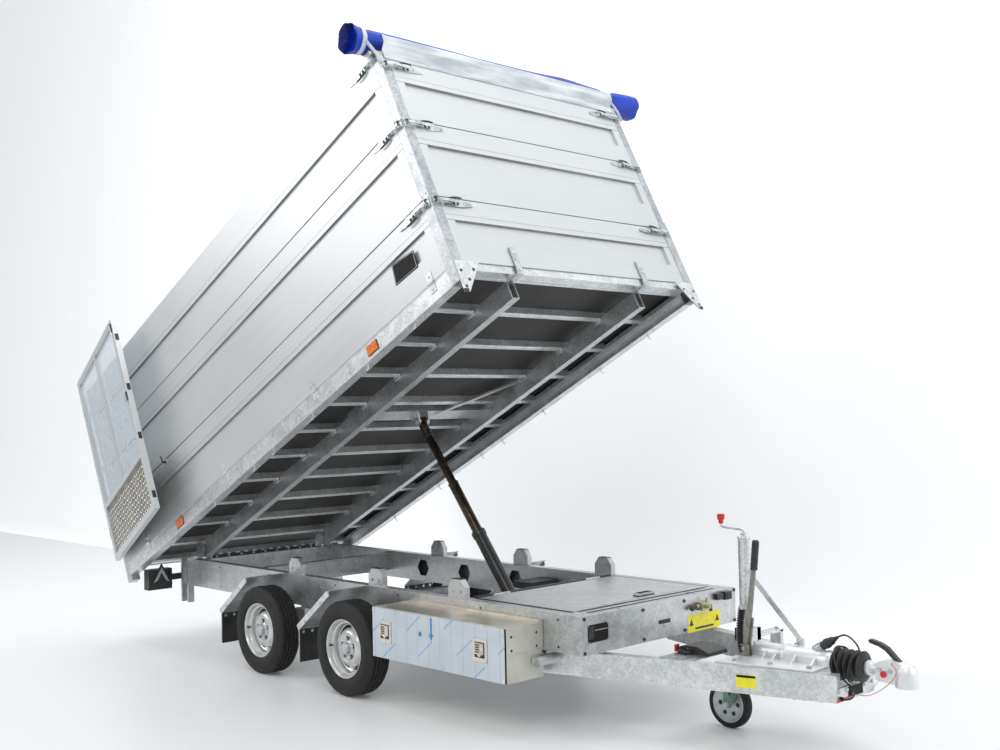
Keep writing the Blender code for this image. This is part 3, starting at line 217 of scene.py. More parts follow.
def one_sided(net):
    """Make a material see-through from behind."""
    clear = net.make("ShaderNodeBsdfTransparent", {}, {})
    behind = net.make("ShaderNodeNewGeometry", {}, {}, "Backfacing")
    values = {0: behind, 1: Wire(net, net.shader.outputs[0]), 2: clear}
    both = net.make("ShaderNodeMixShader", {}, values)
    net.tree.links.new(both.socket, net.tree.nodes["Material Output"].inputs["Surface"])


def rgba(colour):
    """A colour with its alpha, or a wire as it is."""
    return colour if isinstance(colour, Wire) else (*colour[:3], 1.0)


def worn(name, light, dark, rough=(0.3, 0.5), scale=6.0, bump=0.15, stretch=(1, 1, 1),
         fine=90.0, **constants):
    """A surface whose colour and roughness drift slowly, with a fine grain."""
    net = Net(name, **constants)
    place = net.place().scaled(stretch)
    slow = net.noise(place, scale, 4.0)
    grain = net.noise(place, fine, 2.0)
    colour = net.mix(slow.step(0.3, 0.7), dark, light)
    roughness = rough[0] + (rough[1] - rough[0]) * (slow * 0.6 + grain * 0.4)
    normal = net.bump(grain, bump, 0.001)
    return net.feed(Base_Color=colour, Roughness=roughness, Normal=normal)


def zinc_material(name, light, dark, stain):
    """Hot-dip zinc: small crystals of many greys, cloudy patches and a fine grain."""
    net = Net(name, Metallic=0.82)
    place = net.place()
    crystal = net.cells(place, 95.0)
    patch = net.noise(place, 2.2, 5.0, 0.6)
    cloud = net.noise(place, 14.0, 5.0, 0.7)
    tone = crystal * 0.14 + cloud * 0.5 + patch * 0.36
    colour = net.mix(tone.step(0.34, 0.66), dark, light)
    colour = net.mix(patch.step(0.50, 0.75) * 0.55, colour, stain)
    roughness = 0.22 + crystal * 0.08 + cloud * 0.20
    normal = net.bump(crystal * 0.2 + cloud, 0.12, 0.002)
    return net.feed(Base_Color=colour, Roughness=roughness, Normal=normal)


def board_material(name, light, dark, stretch):
    """Anodised profile with fine drawing lines along it."""
    net = Net(name, Metallic=0.55)
    place = net.place()
    lines = net.noise(place.scaled(stretch), 1.0, 4.0, 0.7)
    cloud = net.noise(place, 1.3, 3.0)
    colour = net.mix((lines * 0.55 + cloud * 0.45).step(0.3, 0.7), dark, light)
    roughness = 0.26 + lines * 0.14 + cloud * 0.10
    return net.feed(Base_Color=colour, Roughness=roughness, Normal=net.bump(lines, 0.05, 0.001))


def floor_material(name):
    """The stage floor: pale, slightly glossy paint."""
    net = Net(name, Emission_Color=GLOW, Emission_Strength=FLOOR_GLOW)
    cloud = net.noise(net.place(), 0.8, 4.0)
    colour = net.mix(cloud, (0.80, 0.81, 0.81), (0.84, 0.85, 0.85))
    return net.feed(Base_Color=colour, Roughness=0.32 + cloud * 0.15)


def film_material(name, base, line):
    """Protective film: pale sheet with thin printed lines and rows of slanting dashes."""
    net = Net(name, Metallic=0.25, Coat_Weight=0.4)
    place = net.place()
    x, z = place.axis(0), place.axis(2)
    cloud = net.noise(place, 5.0, 3.0)
    colour = net.mix(cloud.step(0.3, 0.7), base, tuple(0.90 * c for c in base))
    stripe = (x / 0.088).math("FRACT").math("COMPARE", 0.5, 0.010)
    slant = (x * 0.62 - z * 0.78)
    along = (x * 0.78 + z * 0.62)
    row = (slant / 0.150).math("FRACT").math("COMPARE", 0.5, 0.035)
    ticks = (along / 0.0125).math("FRACT").math("LESS_THAN", 0.55)
    gap = (along / 0.260).math("FRACT").math("LESS_THAN", 0.55)
    marks = (row * ticks * gap * 0.75).math("MAXIMUM", stripe * 0.9)
    colour = net.mix(marks, colour, line)
    return net.feed(Base_Color=colour, Roughness=0.16 + cloud * 0.14,
                    Normal=net.bump(cloud, 0.25, 0.006))


def cloth_material(name, light, dark):
    """Coated cloth: a fine weave under a satin skin."""
    net = Net(name, Coat_Weight=0.12, Coat_Roughness=0.35)
    place = net.place()
    weave = net.make("ShaderNodeTexWave", {"bands_direction": "X"},
                     {"Vector": place, "Scale": 260.0, "Distortion": 0.4})
    across = net.make("ShaderNodeTexWave", {"bands_direction": "Z"},
                      {"Vector": place, "Scale": 260.0, "Distortion": 0.4})
    cloud = net.noise(place, 7.0, 4.0)
    colour = net.mix(cloud.step(0.3, 0.7), dark, light)
    inside = net.make("ShaderNodeNewGeometry", {}, {}, "Backfacing")
    colour = net.mix(inside * 0.6, colour, tuple(0.16 + 0.8 * c for c in light))
    return net.feed(Base_Color=colour, Roughness=0.42 + cloud * 0.2,
                    Normal=net.bump(weave * across + cloud * 2.0, 0.35, 0.002))


def materials(tone):
    """Every material of the trailer, by its short name."""
    zinc, alu = tuple(tone.zinc), tuple(tone.boards)
    dim = tuple(0.66 * c for c in zinc)
    return {
        "zinc": zinc_material("galvanised steel", zinc, dim, (0.50, 0.47, 0.47)),
        "bright": zinc_material("new zinc", (0.84, 0.86, 0.87), (0.54, 0.56, 0.57),
                                (0.64, 0.65, 0.65)),
        "board": board_material("board profile", alu, tuple(0.93 * c for c in alu),
                                (1.4, 60.0, 60.0)),
        "board_across": board_material("front board profile", alu, tuple(0.93 * c for c in alu),
                                       (60.0, 1.4, 60.0)),
        "cast": worn("cast aluminium", (0.88, 0.89, 0.89), (0.76, 0.77, 0.78), (0.3, 0.5), 9.0,
                     0.35, fine=220.0, Metallic=0.6),
        "latch": worn("zinc-plated latch", (0.66, 0.70, 0.69), (0.38, 0.42, 0.43), (0.18, 0.4),
                      26.0, 0.2, Metallic=0.9),
        "silver": worn("silver paint", (0.74, 0.75, 0.74), (0.60, 0.61, 0.60), (0.24, 0.38), 14.0,
                       0.1, Metallic=0.65),
        "hub": worn("pale hub cap", (0.62, 0.66, 0.66), (0.48, 0.52, 0.52), (0.25, 0.4), 30.0, 0.1,
                    Metallic=0.4),
        "tyre": worn("tyre rubber", (0.018, 0.018, 0.019), (0.009, 0.009, 0.010), (0.55, 0.8),
                     18.0, 0.5, fine=260.0),
        "rubber": worn("black rubber", (0.032, 0.032, 0.034), (0.018, 0.018, 0.019), (0.4, 0.62),
                       20.0, 0.3, fine=200.0),
        "plastic": worn("black plastic", (0.035, 0.035, 0.037), (0.022, 0.022, 0.023),
                        (0.3, 0.45), 25.0, 0.2, fine=320.0),
        "black": worn("black paint", (0.022, 0.022, 0.022), (0.012, 0.012, 0.012), (0.16, 0.3),
                      12.0, 0.1),
        "chrome": worn("ground bronze", (0.11, 0.085, 0.060), (0.045, 0.036, 0.030),
                       (0.10, 0.22), 8.0, 0.1, (1, 1, 6), Metallic=0.9),
        "grip": worn("worn grip", (0.020, 0.020, 0.021), (0.012, 0.012, 0.012), (0.5, 0.7), 30.0,
                     0.3, Specular_IOR_Level=0.25),
        "deck": worn("film-faced floor", (0.045, 0.042, 0.041), (0.022, 0.021, 0.021),
                     (0.40, 0.6), 2.2, 0.4, fine=150.0, Specular_IOR_Level=0.2),
        "brown": worn("warm sheet", (0.74, 0.68, 0.58), (0.54, 0.49, 0.41), (0.2, 0.4),
                      7.0, 0.2, Metallic=0.8),
        "red": worn("red plastic", tuple(tone.red), tuple(0.7 * c for c in tone.red),
                    (0.25, 0.4), 30.0, 0.1),
        "orange": worn("orange reflector", (0.95, 0.25, 0.03), (0.75, 0.14, 0.02), (0.15, 0.3),
                       80.0, 0.5),
        "wine": worn("red reflector", (0.50, 0.02, 0.03), (0.30, 0.01, 0.02), (0.15, 0.3), 80.0,
                     0.5),
        "olive": worn("olive-grey steel", (0.34, 0.34, 0.30), (0.22, 0.22, 0.19), (0.25, 0.45),
                      24.0, 0.2, Metallic=0.7),
        "green": worn("greenish plating", (0.25, 0.34, 0.30), (0.13, 0.20, 0.17), (0.3, 0.5),
                      22.0, 0.2, Metallic=0.6),
        "webbing": worn("white webbing", (0.86, 0.87, 0.88), (0.70, 0.72, 0.74), (0.6, 0.8), 60.0,
                        0.6, fine=500.0),
        "tarp": cloth_material("coated tarpaulin", tuple(tone.cloth),
                               tuple(0.55 * c for c in tone.cloth)),
        "film": film_material("protective film", (0.60, 0.65, 0.71), (0.05, 0.30, 0.62)),
        "yellow": worn("yellow label", (0.92, 0.84, 0.03), (0.84, 0.74, 0.02), (0.2, 0.4), 30.0,
                       0.1),
        # painted shade: a darker aluminium for the fields' upper slopes, the thin lines over them
        # and the boards' edge chamfers, where shadow falls
        "groove_shade": worn("painted shade in grooves", (0.30, 0.31, 0.32), (0.20, 0.21, 0.22), (0.4, 0.6), 3.0,
                     0.1, Metallic=0.5),
        # painted reflection: the posts' zinc is a darker copy of the galvanised steel, for the dark
        # surroundings that the posts reflect
        "post": zinc_material("post zinc, painted dark reflection", (0.60, 0.62, 0.64), (0.30, 0.32, 0.34),
                              (0.40, 0.41, 0.42)),
        "grid": worn("mesh wire", (0.80, 0.86, 0.92), (0.66, 0.72, 0.78), (0.3, 0.45), 30.0, 0.1,
                     Metallic=0.2),
        "sheet": worn("shield sheet", (0.78, 0.81, 0.83), (0.46, 0.50, 0.53), (0.22, 0.4), 7.0, 0.1,
                      (1, 0.4, 3), Metallic=0.8),
        "tread": worn("chequer sheet", (0.34, 0.32, 0.29), (0.22, 0.20, 0.18), (0.25, 0.4), 9.0,
                      0.2, Metallic=0.8),
        "drop": worn("chequer drops", (0.86, 0.84, 0.78), (0.70, 0.68, 0.62), (0.2, 0.35), 30.0,
                     0.1, Metallic=0.8),
        "grey": worn("grey print", (0.42, 0.46, 0.50), (0.34, 0.38, 0.42), (0.35, 0.5), 60.0, 0.1),
        "brass": worn("yellow zinc", (0.60, 0.58, 0.34), (0.34, 0.35, 0.20), (0.2, 0.4), 40.0, 0.3,
                      Metallic=0.85),
        "warm": worn("bare steel sheet", (0.68, 0.67, 0.60), (0.56, 0.55, 0.49), (0.22, 0.4), 6.0,
                     0.1, Metallic=0.6),
        "cream": worn("cream frame", (0.80, 0.76, 0.66), (0.66, 0.62, 0.54), (0.3, 0.45), 30.0,
                      0.1, Metallic=0.3),
        "print": worn("blue print", (0.03, 0.26, 0.58), (0.02, 0.20, 0.48), (0.2, 0.35), 40.0, 0.1),
        "bare": worn("bare black plate", (0.010, 0.010, 0.011), (0.006, 0.006, 0.007),
                     (0.45, 0.6), 30.0, 0.05, Specular_IOR_Level=0.2),
        # painted shade: a near-black for holes, slots, bores and hollows, where shade falls; it
        # also serves some small black parts such as valve stems and foot strips
        "dark": worn("painted shade in hollows, black trim", (0.045, 0.043, 0.042), (0.020, 0.020, 0.020), (0.5, 0.7),
                     14.0, 0.3),
    }


MATERIALS = {}


class Shape:
    """The faces of one piece, gathered part by part, each with its material's number."""

    def __init__(self):
        self.work = bmesh.new()

    def take(self, matrix, verts, mat, smooth=True):
        bmesh.ops.transform(self.work, matrix=matrix, verts=verts)
        for face in {f for v in verts for f in v.link_faces}:
            face.material_index = mat
            face.smooth = smooth

    def box(self, x, y, z, mat=0, turn=None):
        """A box from its range on each axis, turned by a matrix if one is given."""
        verts = bmesh.ops.create_cube(self.work, size=1.0)["verts"]
        size = Matrix.Diagonal((x[1] - x[0], y[1] - y[0], z[1] - z[0], 1))
        middle = Matrix.Translation(((x[0] + x[1]) / 2, (y[0] + y[1]) / 2, (z[0] + z[1]) / 2))
        self.take((turn or Matrix()) @ middle @ size, verts, mat)

    def rod(self, start, end, radius, mat=0, sides=20, tip=None):
        """A round bar or cone between two points."""
        start, end = Vector(start), Vector(end)
        made = bmesh.ops.create_cone(self.work, cap_ends=True, segments=sides, radius1=radius,
                                     radius2=radius if tip is None else tip,
                                     depth=(end - start).length)
        turn = (end - start).to_track_quat("Z", "Y").to_matrix().to_4x4()
        self.take(Matrix.Translation((start + end) / 2) @ turn, made["verts"], mat)

    def ball(self, centre, radius, mat=0, scale=(1, 1, 1)):
        made = bmesh.ops.create_uvsphere(self.work, u_segments=20, v_segments=12, radius=radius)
        self.take(Matrix.Translation(centre) @ Matrix.Diagonal((*scale, 1)), made["verts"], mat)

    def prism(self, ring, axis, low, high, mat=0):
        """A closed outline extruded along X, Y or Z; its points are the other two axes' values."""
        def place(a, b, h):
            return {"X": (h, a, b), "Y": (a, h, b), "Z": (a, b, h)}[axis]
        rows = [[self.work.verts.new(place(a, b, h)) for a, b in ring] for h in (low, high)]
        faces = [self.work.faces.new(rows[0][::-1]), self.work.faces.new(rows[1])]
        count = len(ring)
        for k in range(count):
            n = (k + 1) % count
            faces.append(self.work.faces.new((rows[0][k], rows[0][n], rows[1][n], rows[1][k])))
        for face in faces:
            face.material_index = mat
            face.smooth = True
        bmesh.ops.recalc_face_normals(self.work, faces=faces)

    def lathe(self, profile, axis, centre=(0, 0, 0), mat=0, steps=48, closed=False, paint=None):
        """A profile of (radius, place along the axis) turned about X, Y or Z.

        The profile may depend on the step; paint gives the material of a step and an edge.
        """
        rows = []
        for k in range(steps):
            a = math.tau * k / steps
            row = []
            for r, h in (profile(k) if callable(profile) else profile):
                c, s = r * math.cos(a), r * math.sin(a)
                spot = {"X": (h, c, s), "Y": (s, h, c), "Z": (c, s, h)}[axis]
                row.append(self.work.verts.new(Vector(spot) + Vector(centre)))
            rows.append(row)
        count = len(rows[0])
        faces = []
        for k in range(steps):
            a, b = rows[k], rows[(k + 1) % steps]
            for i in range(count if closed else count - 1):
                j = (i + 1) % count
                face = self.work.faces.new((a[i], a[j], b[j], b[i]))
                face.material_index = paint(k, i) if paint else mat
                face.smooth = True
                faces.append(face)
        verts = [v for row in rows for v in row]
        bmesh.ops.remove_doubles(self.work, verts=verts, dist=1e-6)
        faces = [face for face in faces if face.is_valid]
        bmesh.ops.recalc_face_normals(self.work, faces=faces)

    def slab(self, us, vs, depth, back, place, paint):
        """A closed panel: its face lies at depth(u, v) over a grid, its back is flat.

        paint gives the material of the face's row j.
        """
        front = [[self.work.verts.new(place(u, v, depth(u, v))) for v in vs] for u in us]
        rear = [[self.work.verts.new(place(u, v, back)) for v in vs] for u in us]
        new = self.work.faces.new
        faces = []
        for i in range(len(us) - 1):
            for j in range(len(vs) - 1):
                for rows in (front, rear):
                    face = new((rows[i][j], rows[i + 1][j], rows[i + 1][j + 1], rows[i][j + 1]))
                    face.material_index = paint(i, j) if rows is front else 0
                    faces.append(face)
            for j in (0, -1):
                faces.append(new((front[i][j], front[i + 1][j], rear[i + 1][j], rear[i][j])))
        for j in range(len(vs) - 1):
            for i in (0, -1):
                faces.append(new((front[i][j], front[i][j + 1], rear[i][j + 1], rear[i][j])))
        for face in faces:
            face.smooth = True
        bmesh.ops.recalc_face_normals(self.work, faces=faces)

    def lozenge(self, place, out, tilt, length, width, height, mat=0):
        """One raised drop of a chequer plate that faces along X."""
        c = Vector(place)
        run = Vector((0, 0.7071, 0.7071 * tilt))
        across = Vector((0, 0.7071, -0.7071 * tilt))
        corners = [c + run * length, c + across * width, c - run * length, c - across * width]
        base = [self.work.verts.new(p) for p in corners]
        top = [self.work.verts.new(c.lerp(p, 0.45) + Vector((out * height, 0, 0))) for p in corners]
        under = self.work.verts.new(c - Vector((out * 0.0005, 0, 0)))
        new = self.work.faces.new
        faces = [new(top)]
        for k in range(4):
            n = (k + 1) % 4
            faces += [new((base[k], base[n], top[n], top[k])), new((base[n], base[k], under))]
        for face in faces:
            face.material_index = mat
            face.smooth = True
        bmesh.ops.recalc_face_normals(self.work, faces=faces)

    def tube(self, points, radius, mat=0, sides=10):
        """A round bar bent along points."""
        points = [Vector(p) for p in points]
        side = None
        rows = []
        for k, p in enumerate(points):
            run = (points[min(k + 1, len(points) - 1)] - points[max(k - 1, 0)]).normalized()
            if side is None:
                side = run.orthogonal().normalized()
            side = (side - run * side.dot(run)).normalized()
            up = run.cross(side)
            r = radius(k / (len(points) - 1)) if callable(radius) else radius
            rows.append([self.work.verts.new(p + (side * math.cos(a) + up * math.sin(a)) * r)
                         for a in (math.tau * n / sides for n in range(sides))])
        faces = [self.work.faces.new(rows[0][::-1]), self.work.faces.new(rows[-1])]
        for a, b in zip(rows, rows[1:]):
            for n in range(sides):
                m = (n + 1) % sides
                faces.append(self.work.faces.new((a[n], a[m], b[m], b[n])))
        for face in faces:
            face.material_index = mat
            face.smooth = True

    def grid(self, rows, mat=0, close=False):
        """A sheet through rows of points."""
        made = [[self.work.verts.new(p) for p in row] for row in rows]
        count = len(made[0])
        for a, b in zip(made, made[1:]):
            for n in range(count if close else count - 1):
                m = (n + 1) % count
                face = self.work.faces.new((a[n], a[m], b[m], b[n]))
                face.material_index = mat
                face.smooth = True

    def bolt(self, place, axis, size, height, mat=0, washer=True):
        """A hexagon bolt head on a face, with its washer; its size is that across its flats."""
        place, axis = Vector(place), Vector(axis).normalized()
        foot = place - axis * BOLT_SINK
        if washer:
            self.rod(foot, place + axis * WASHER_HIGH, size * WASHER_SHARE, mat, 20)
        self.rod(foot, place + axis * height, size / 2 * CORNER_SHARE, mat, 6)

    def piece(self, name, body, mats, place=None, bevel=0.0, angle=32.0, segments=2):
        """Turn the faces into a named piece that rides on a body."""
        mesh = bpy.data.meshes.new(name)
        self.work.normal_update()
        self.work.to_mesh(mesh)
        self.work.free()
        for mat in mats:
            mesh.materials.append(MATERIALS[mat])
        obj = bpy.data.objects.new(name, mesh)
        bpy.context.scene.collection.objects.link(obj)
        obj.matrix_world = place or Matrix()
        mesh.set_sharp_from_angle(angle=math.radians(angle))
        if bevel:
            round_off = obj.modifiers.new("edges", "BEVEL")
            round_off.width = bevel
            round_off.segments = segments
            round_off.limit_method = "ANGLE"
            round_off.angle_limit = math.radians(angle)
            round_off.harden_normals = True
        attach(obj, body)
        return obj


# Stage, in metres and watts at a light setting of 1

STAGE_REACH, STAGE_COVE, STAGE_HEIGHT = 26.0, 0.30, 16.0
STAGE_LIFT = 0.002      # the backdrop's foot lies this far over the floor
LAMPS = (               # name, place, aim, size and power
    ("key", (4.5, -6.5, 6.5), (-0.3, 0, 1.2), (5.0, 3.0), 280),
    ("side", (-5.5, -6.0, 5.0), (-0.8, 0, 1.5), (5.0, 3.5), 330),
    ("top", (-0.5, -0.5, 8.5), (-0.5, 0, 0), (8.0, 5.0), 340),
    ("front", (8.0, 0.5, 3.8), (0.5, 0, 1.6), (4.0, 4.0), 150),
    ("wall wash", (-1.0, -1.0, 10.0), (-2.5, 2.0, 4.5), (8.0, 2.0), 200),
)
SKY = (0.96, 0.98, 1.0, 1.0)
GLOW = (0.95, 0.97, 1.0, 1.0)
WALL_GLOW, FLOOR_GLOW = 0.34, 0.06


class TrailerTone(bpy.types.PropertyGroup):
    """Colours that a user would change."""
    zinc: FloatVectorProperty(name="Zinc", description="Colour of the galvanised steel",
                              subtype="COLOR", size=3, min=0, max=1, default=(0.66, 0.68, 0.69))
    boards: FloatVectorProperty(name="Boards", description="Colour of the wall boards",
                                subtype="COLOR", size=3, min=0, max=1,
                                default=(0.66, 0.68, 0.69))
    cloth: FloatVectorProperty(name="Tarpaulin", description="Colour of the tarpaulin",
                               subtype="COLOR", size=3, min=0, max=1,
                               default=(0.003, 0.055, 0.60))
    red: FloatVectorProperty(name="Red", description="Colour of knobs and buttons",
                             subtype="COLOR", size=3, min=0, max=1, default=(0.72, 0.02, 0.03))


class TrailerStage(bpy.types.PropertyGroup):
    """Camera, floor and lights."""
    lens: FloatProperty(name="Lens", description="Focal length of the camera", default=42.303,
                        min=10, max=200, unit="CAMERA")
    spot: FloatVectorProperty(name="Camera place", description="Where the camera stands",
                              subtype="TRANSLATION", size=3, unit="LENGTH",
                              default=(5.447, -4.6794, 1.5313))
    yaw: FloatProperty(name="Yaw", description="Heading of the view from +X", subtype="ANGLE",
                       default=math.radians(136.646))
    pitch: FloatProperty(name="Pitch", description="How far the view looks up",
                         subtype="ANGLE", default=math.radians(1.946))
    roll: FloatProperty(name="Roll", description="Turn of the camera about its view",
                        subtype="ANGLE", default=math.radians(-1.233))
    wall: FloatProperty(name="Wall", description="How far the backdrop stands to the left",
                        unit="LENGTH", default=2.05, min=1.5, max=20)
    light: FloatProperty(name="Light", description="Strength of the studio lights",
                         default=0.50, min=0, max=10)


class TrailerDetail(bpy.types.PropertyGroup):
    """Sizes of small parts that a user would change."""
    mesh_pitch: FloatProperty(name="Leaf mesh", description="Pitch of the expanded mesh",
                              unit="LENGTH", default=0.045, min=0.015, max=0.1)
    wheel_bolts: IntProperty(name="Wheel bolts", description="Bolts of each wheel", default=5,
                             min=3, max=8)
    roll_flare: FloatProperty(name="Roll flare", description="Radius of the tarpaulin's ends",
                              unit="LENGTH", default=0.086, min=0.05, max=0.12)


def look(place, yaw, pitch, roll):
    """The matrix of a camera with a heading, a pitch and a roll."""
    ahead = Vector((math.cos(yaw) * math.cos(pitch), math.sin(yaw) * math.cos(pitch),
                    math.sin(pitch)))
    right = ahead.cross(Vector((0, 0, 1))).normalized()
    up = right.cross(ahead)
    side = right * math.cos(roll) + up * math.sin(roll)
    top = up * math.cos(roll) - right * math.sin(roll)
    turn = Matrix((side, top, -ahead)).transposed().to_4x4()
    return Matrix.Translation(place) @ turn


def area_light(name, place, aim, size, power):
    """A soft box that faces a point."""
    lamp = bpy.data.lights.new(name, "AREA")
    lamp.shape = "RECTANGLE"
    lamp.size, lamp.size_y = size
    lamp.energy = power
    obj = bpy.data.objects.new(name, lamp)
    bpy.context.scene.collection.objects.link(obj)
    turn = (Vector(place) - Vector(aim)).to_track_quat("Z", "Y").to_matrix().to_4x4()
    obj.matrix_world = Matrix.Translation(place) @ turn


class TRAILER_OT_stage(bpy.types.Operator):
    """Make the floor, the backdrop, the lights and the camera"""
    bl_idname = "trailer.stage"
    bl_label = "Stage and camera"

    def execute(self, context):
        setting = context.scene.trailer_stage
        camera = bpy.data.objects.new("camera", bpy.data.cameras.new("camera"))
        context.scene.collection.objects.link(camera)
        context.scene.camera = camera
        camera.data.lens = setting.lens
        camera.data.sensor_width = 36.0
        camera.data.clip_end = 200
        camera.matrix_world = look(Vector(setting.spot), setting.yaw, setting.pitch, setting.roll)

        net = Net("stage wall", Emission_Color=GLOW, Emission_Strength=WALL_GLOW)
        cloud = net.noise(net.place(), 0.7, 3.0)
        wall = net.feed(Base_Color=net.mix(cloud, (0.84, 0.85, 0.85), (0.86, 0.87, 0.87)),
                        Roughness=0.5 + cloud * 0.1)
        ground = floor_material("stage floor")
        one_sided(net)
        reach, cove, y = STAGE_REACH, STAGE_COVE, setting.wall
        profile = [(y - cove + cove * math.sin(a), STAGE_LIFT + cove - cove * math.cos(a))
                   for a in (math.radians(k) for k in range(0, 91, 10))]
        profile.append((y, STAGE_HEIGHT))
        work = bmesh.new()
        rows = [[work.verts.new((x, py, 0)) for x in (-reach, reach)] for py in (-reach, reach)]
        work.faces.new((*rows[0], *rows[1][::-1]))
        rows = [[work.verts.new((x, py, pz)) for x in (-reach, reach)] for py, pz in profile]
        for a, b in zip(rows, rows[1:]):
            face = work.faces.new((a[0], a[1], b[1], b[0]))
            face.smooth = True
            face.material_index = 1
        mesh = bpy.data.meshes.new("stage")
        work.to_mesh(mesh)
        work.free()
        mesh.materials.append(ground)
        mesh.materials.append(wall)
        stage = bpy.data.objects.new("stage", mesh)
        context.scene.collection.objects.link(stage)

        world = bpy.data.worlds.new("studio")
        world.use_nodes = True
        back = world.node_tree.nodes["Background"]
        back.inputs["Color"].default_value = SKY
        back.inputs["Strength"].default_value = setting.light
        context.scene.world = world
        context.scene.view_settings.view_transform = "Standard"
        for name, place, aim, size, power in LAMPS:
            area_light(name, place, aim, size, power * setting.light)
        return {"FINISHED"}


CHANGES = {     # each material with the solids of the frame that get it
    "zinc": ("beam_left", "beam_right", "rear_cross_member", "centre_cross_member", "ram_cradle",
             "front_compartment", "axle_front", "axle_rear", "compartment_lid",
             "bed_subframe", "jockey_inner_tube", "jockey_outer_tube", "post_front_left",
             "post_front_right", "post_rear_left", "post_rear_right"),
    "bright": ("bed_frame", "drawbar", "mudguard_front_left", "mudguard_front_right",
               "mudguard_rear_left", "mudguard_rear_right"),
    "warm": ("toolbox",),
    "plastic": ("light_bar", "handbrake"),
    "green": ("jockey_fork",),
    "black": ("power_unit", "ram_barrel"),
    "chrome": ("ram_stage_1", "ram_stage_2"),
    "cast": ("overrun_housing", "coupling_head"),
    "rubber": ("bellows", "jockey_wheel", "plug"),
    "film": ("toolbox_door",),
    "board": ("front_shield", "side_board_lower_left", "side_board_lower_right",
              "side_board_middle_left", "side_board_middle_right", "side_board_upper_left",
              "side_board_upper_right", "rear_leaf_left", "rear_leaf_right"),
    "board_across": ("front_board_lower", "front_board_middle", "front_board_upper"),
    "deck": ("bed_floor",),
    "tarp": ("tarpaulin_roll",),
    "tyre": ("tyre_front_left", "tyre_front_right", "tyre_rear_left", "tyre_rear_right"),
    "silver": ("rim_front_left", "rim_front_right", "rim_rear_left", "rim_rear_right"),
}


class TRAILER_OT_finish(bpy.types.Operator):
    """Give every solid of the frame its material"""
    bl_idname = "trailer.finish"
    bl_label = "Materials"

    def execute(self, context):
        MATERIALS.update(materials(context.scene.trailer_tone))
        for mat, nodes in CHANGES.items():
            for name in nodes:
                frame["nodes"][name].data.materials[0] = MATERIALS[mat]
        return {"FINISHED"}



# Bed

SHADOW, SLOPE, END = 0.014, 0.004, 0.055    # depth, slope and closed ends of a board's field


def wall_place(side):
    """Where a point of a side wall lies: along U, up W and out from the wall's inner face."""
    return lambda u, w, d: (u, side * (BED_OUT - BOARD + d), w)


def front_place(y, w, d):
    """Where a point of the front wall lies."""
    return (BED_FRONT - BOARD + d, y, w)


def board_panel(name, node, place, span, low, high, level, mat):
    """One extruded board with its sunk field, replacing its solid."""
    start, stop = span
    low_field, high_field = FIELDS[level]
    runs = [start, start + END, start + END + SLOPE, stop - END - SLOPE, stop - END, stop]
    middle = [start + (stop - start) * k / 8 for k in range(1, 8)]
    runs = sorted(runs + middle)
    line = high_field + 0.030
    rows = [low, low + 0.0030, low + 0.0050, low_field, low_field + SLOPE, high_field - SLOPE,
            high_field, line, line + 0.001, line + 0.002, high - 0.0050, high - 0.0030,
            high - TOUCH]
    soft = {rows[0]: 0.0060, rows[1]: 0.0015, rows[8]: 0.0012, rows[11]: 0.0015, rows[12]: 0.0060}

    def depth(u, w):
        inside = min(u - start - END, stop - END - u, w - low_field, high_field - w)
        return BOARD - SHADOW * min(max(inside / SLOPE, 0.0), 1.0) - soft.get(w, 0.0)

    shape = Shape()
    # Face rows 0 and 11 (the edge chamfers), 5 (the field's upper slope) and 7 and 8 (the thin line
    # over the field) get the second material, painted shade.
    shape.slab(runs, rows, depth, 0.0, place, lambda i, j: 1 if j in (0, 5, 7, 8, 11) else 0)
    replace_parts(shape.piece(name, "bed", (mat, "groove_shade"), BED, angle=25), node)


class TRAILER_OT_boards(bpy.types.Operator):
    """Make the boards of the side walls and of the front wall"""
    bl_idname = "trailer.boards"
    bl_label = "Wall boards"

    def execute(self, context):
        half = BED_OUT - POST - TOUCH
        lows = (RAIL_TOP + TOUCH, BOARD_TOPS[0] + TOUCH, BOARD_TOPS[1] + TOUCH)
        fronts = (FLOOR_LOW, *lows[1:])
        tops = (*BOARD_TOPS[:2], FRONT_TOP)
        for level, name in enumerate(("lower", "middle", "upper")):
            for side, hand in HANDS:
                board_panel(f"side_wall_{name}_{hand}", f"side_board_{name}_{hand}",
                            wall_place(side), SPAN, lows[level], BOARD_TOPS[level], level, "board")
            board_panel(f"front_wall_{name}", f"front_board_{name}", front_place, (-half, half),
                        fronts[level], tops[level], level, "board_across")
        return {"FINISHED"}


LATCH_BASE = ((0.004, 0.054), (-0.001, 0.0055), (-0.025, 0.025))
LATCH_HANDLE = ((0.036, 0.0195), (0.012, 0.0240), (-0.040, 0.0250), (-0.085, 0.0210),
                (-0.128, 0.0250), (-0.130, 0.0220), (-0.085, 0.0178), (-0.040, 0.0215),
                (0.010, 0.0205), (0.034, 0.0162))
LATCH_EAR = ((0.008, 0.004), (0.048, 0.004), (0.042, 0.017), (0.024, 0.021), (0.008, 0.014))
LATCH_HASP = ((-0.030, -0.021), (-0.030, 0.021), (-0.135, 0.021), (-0.215, 0.008),
              (-0.215, -0.008), (-0.135, -0.021))
LATCH_HOOK = ((-0.042, 0.004), (-0.048, 0.014), (-0.060, 0.0155), (-0.066, 0.004))


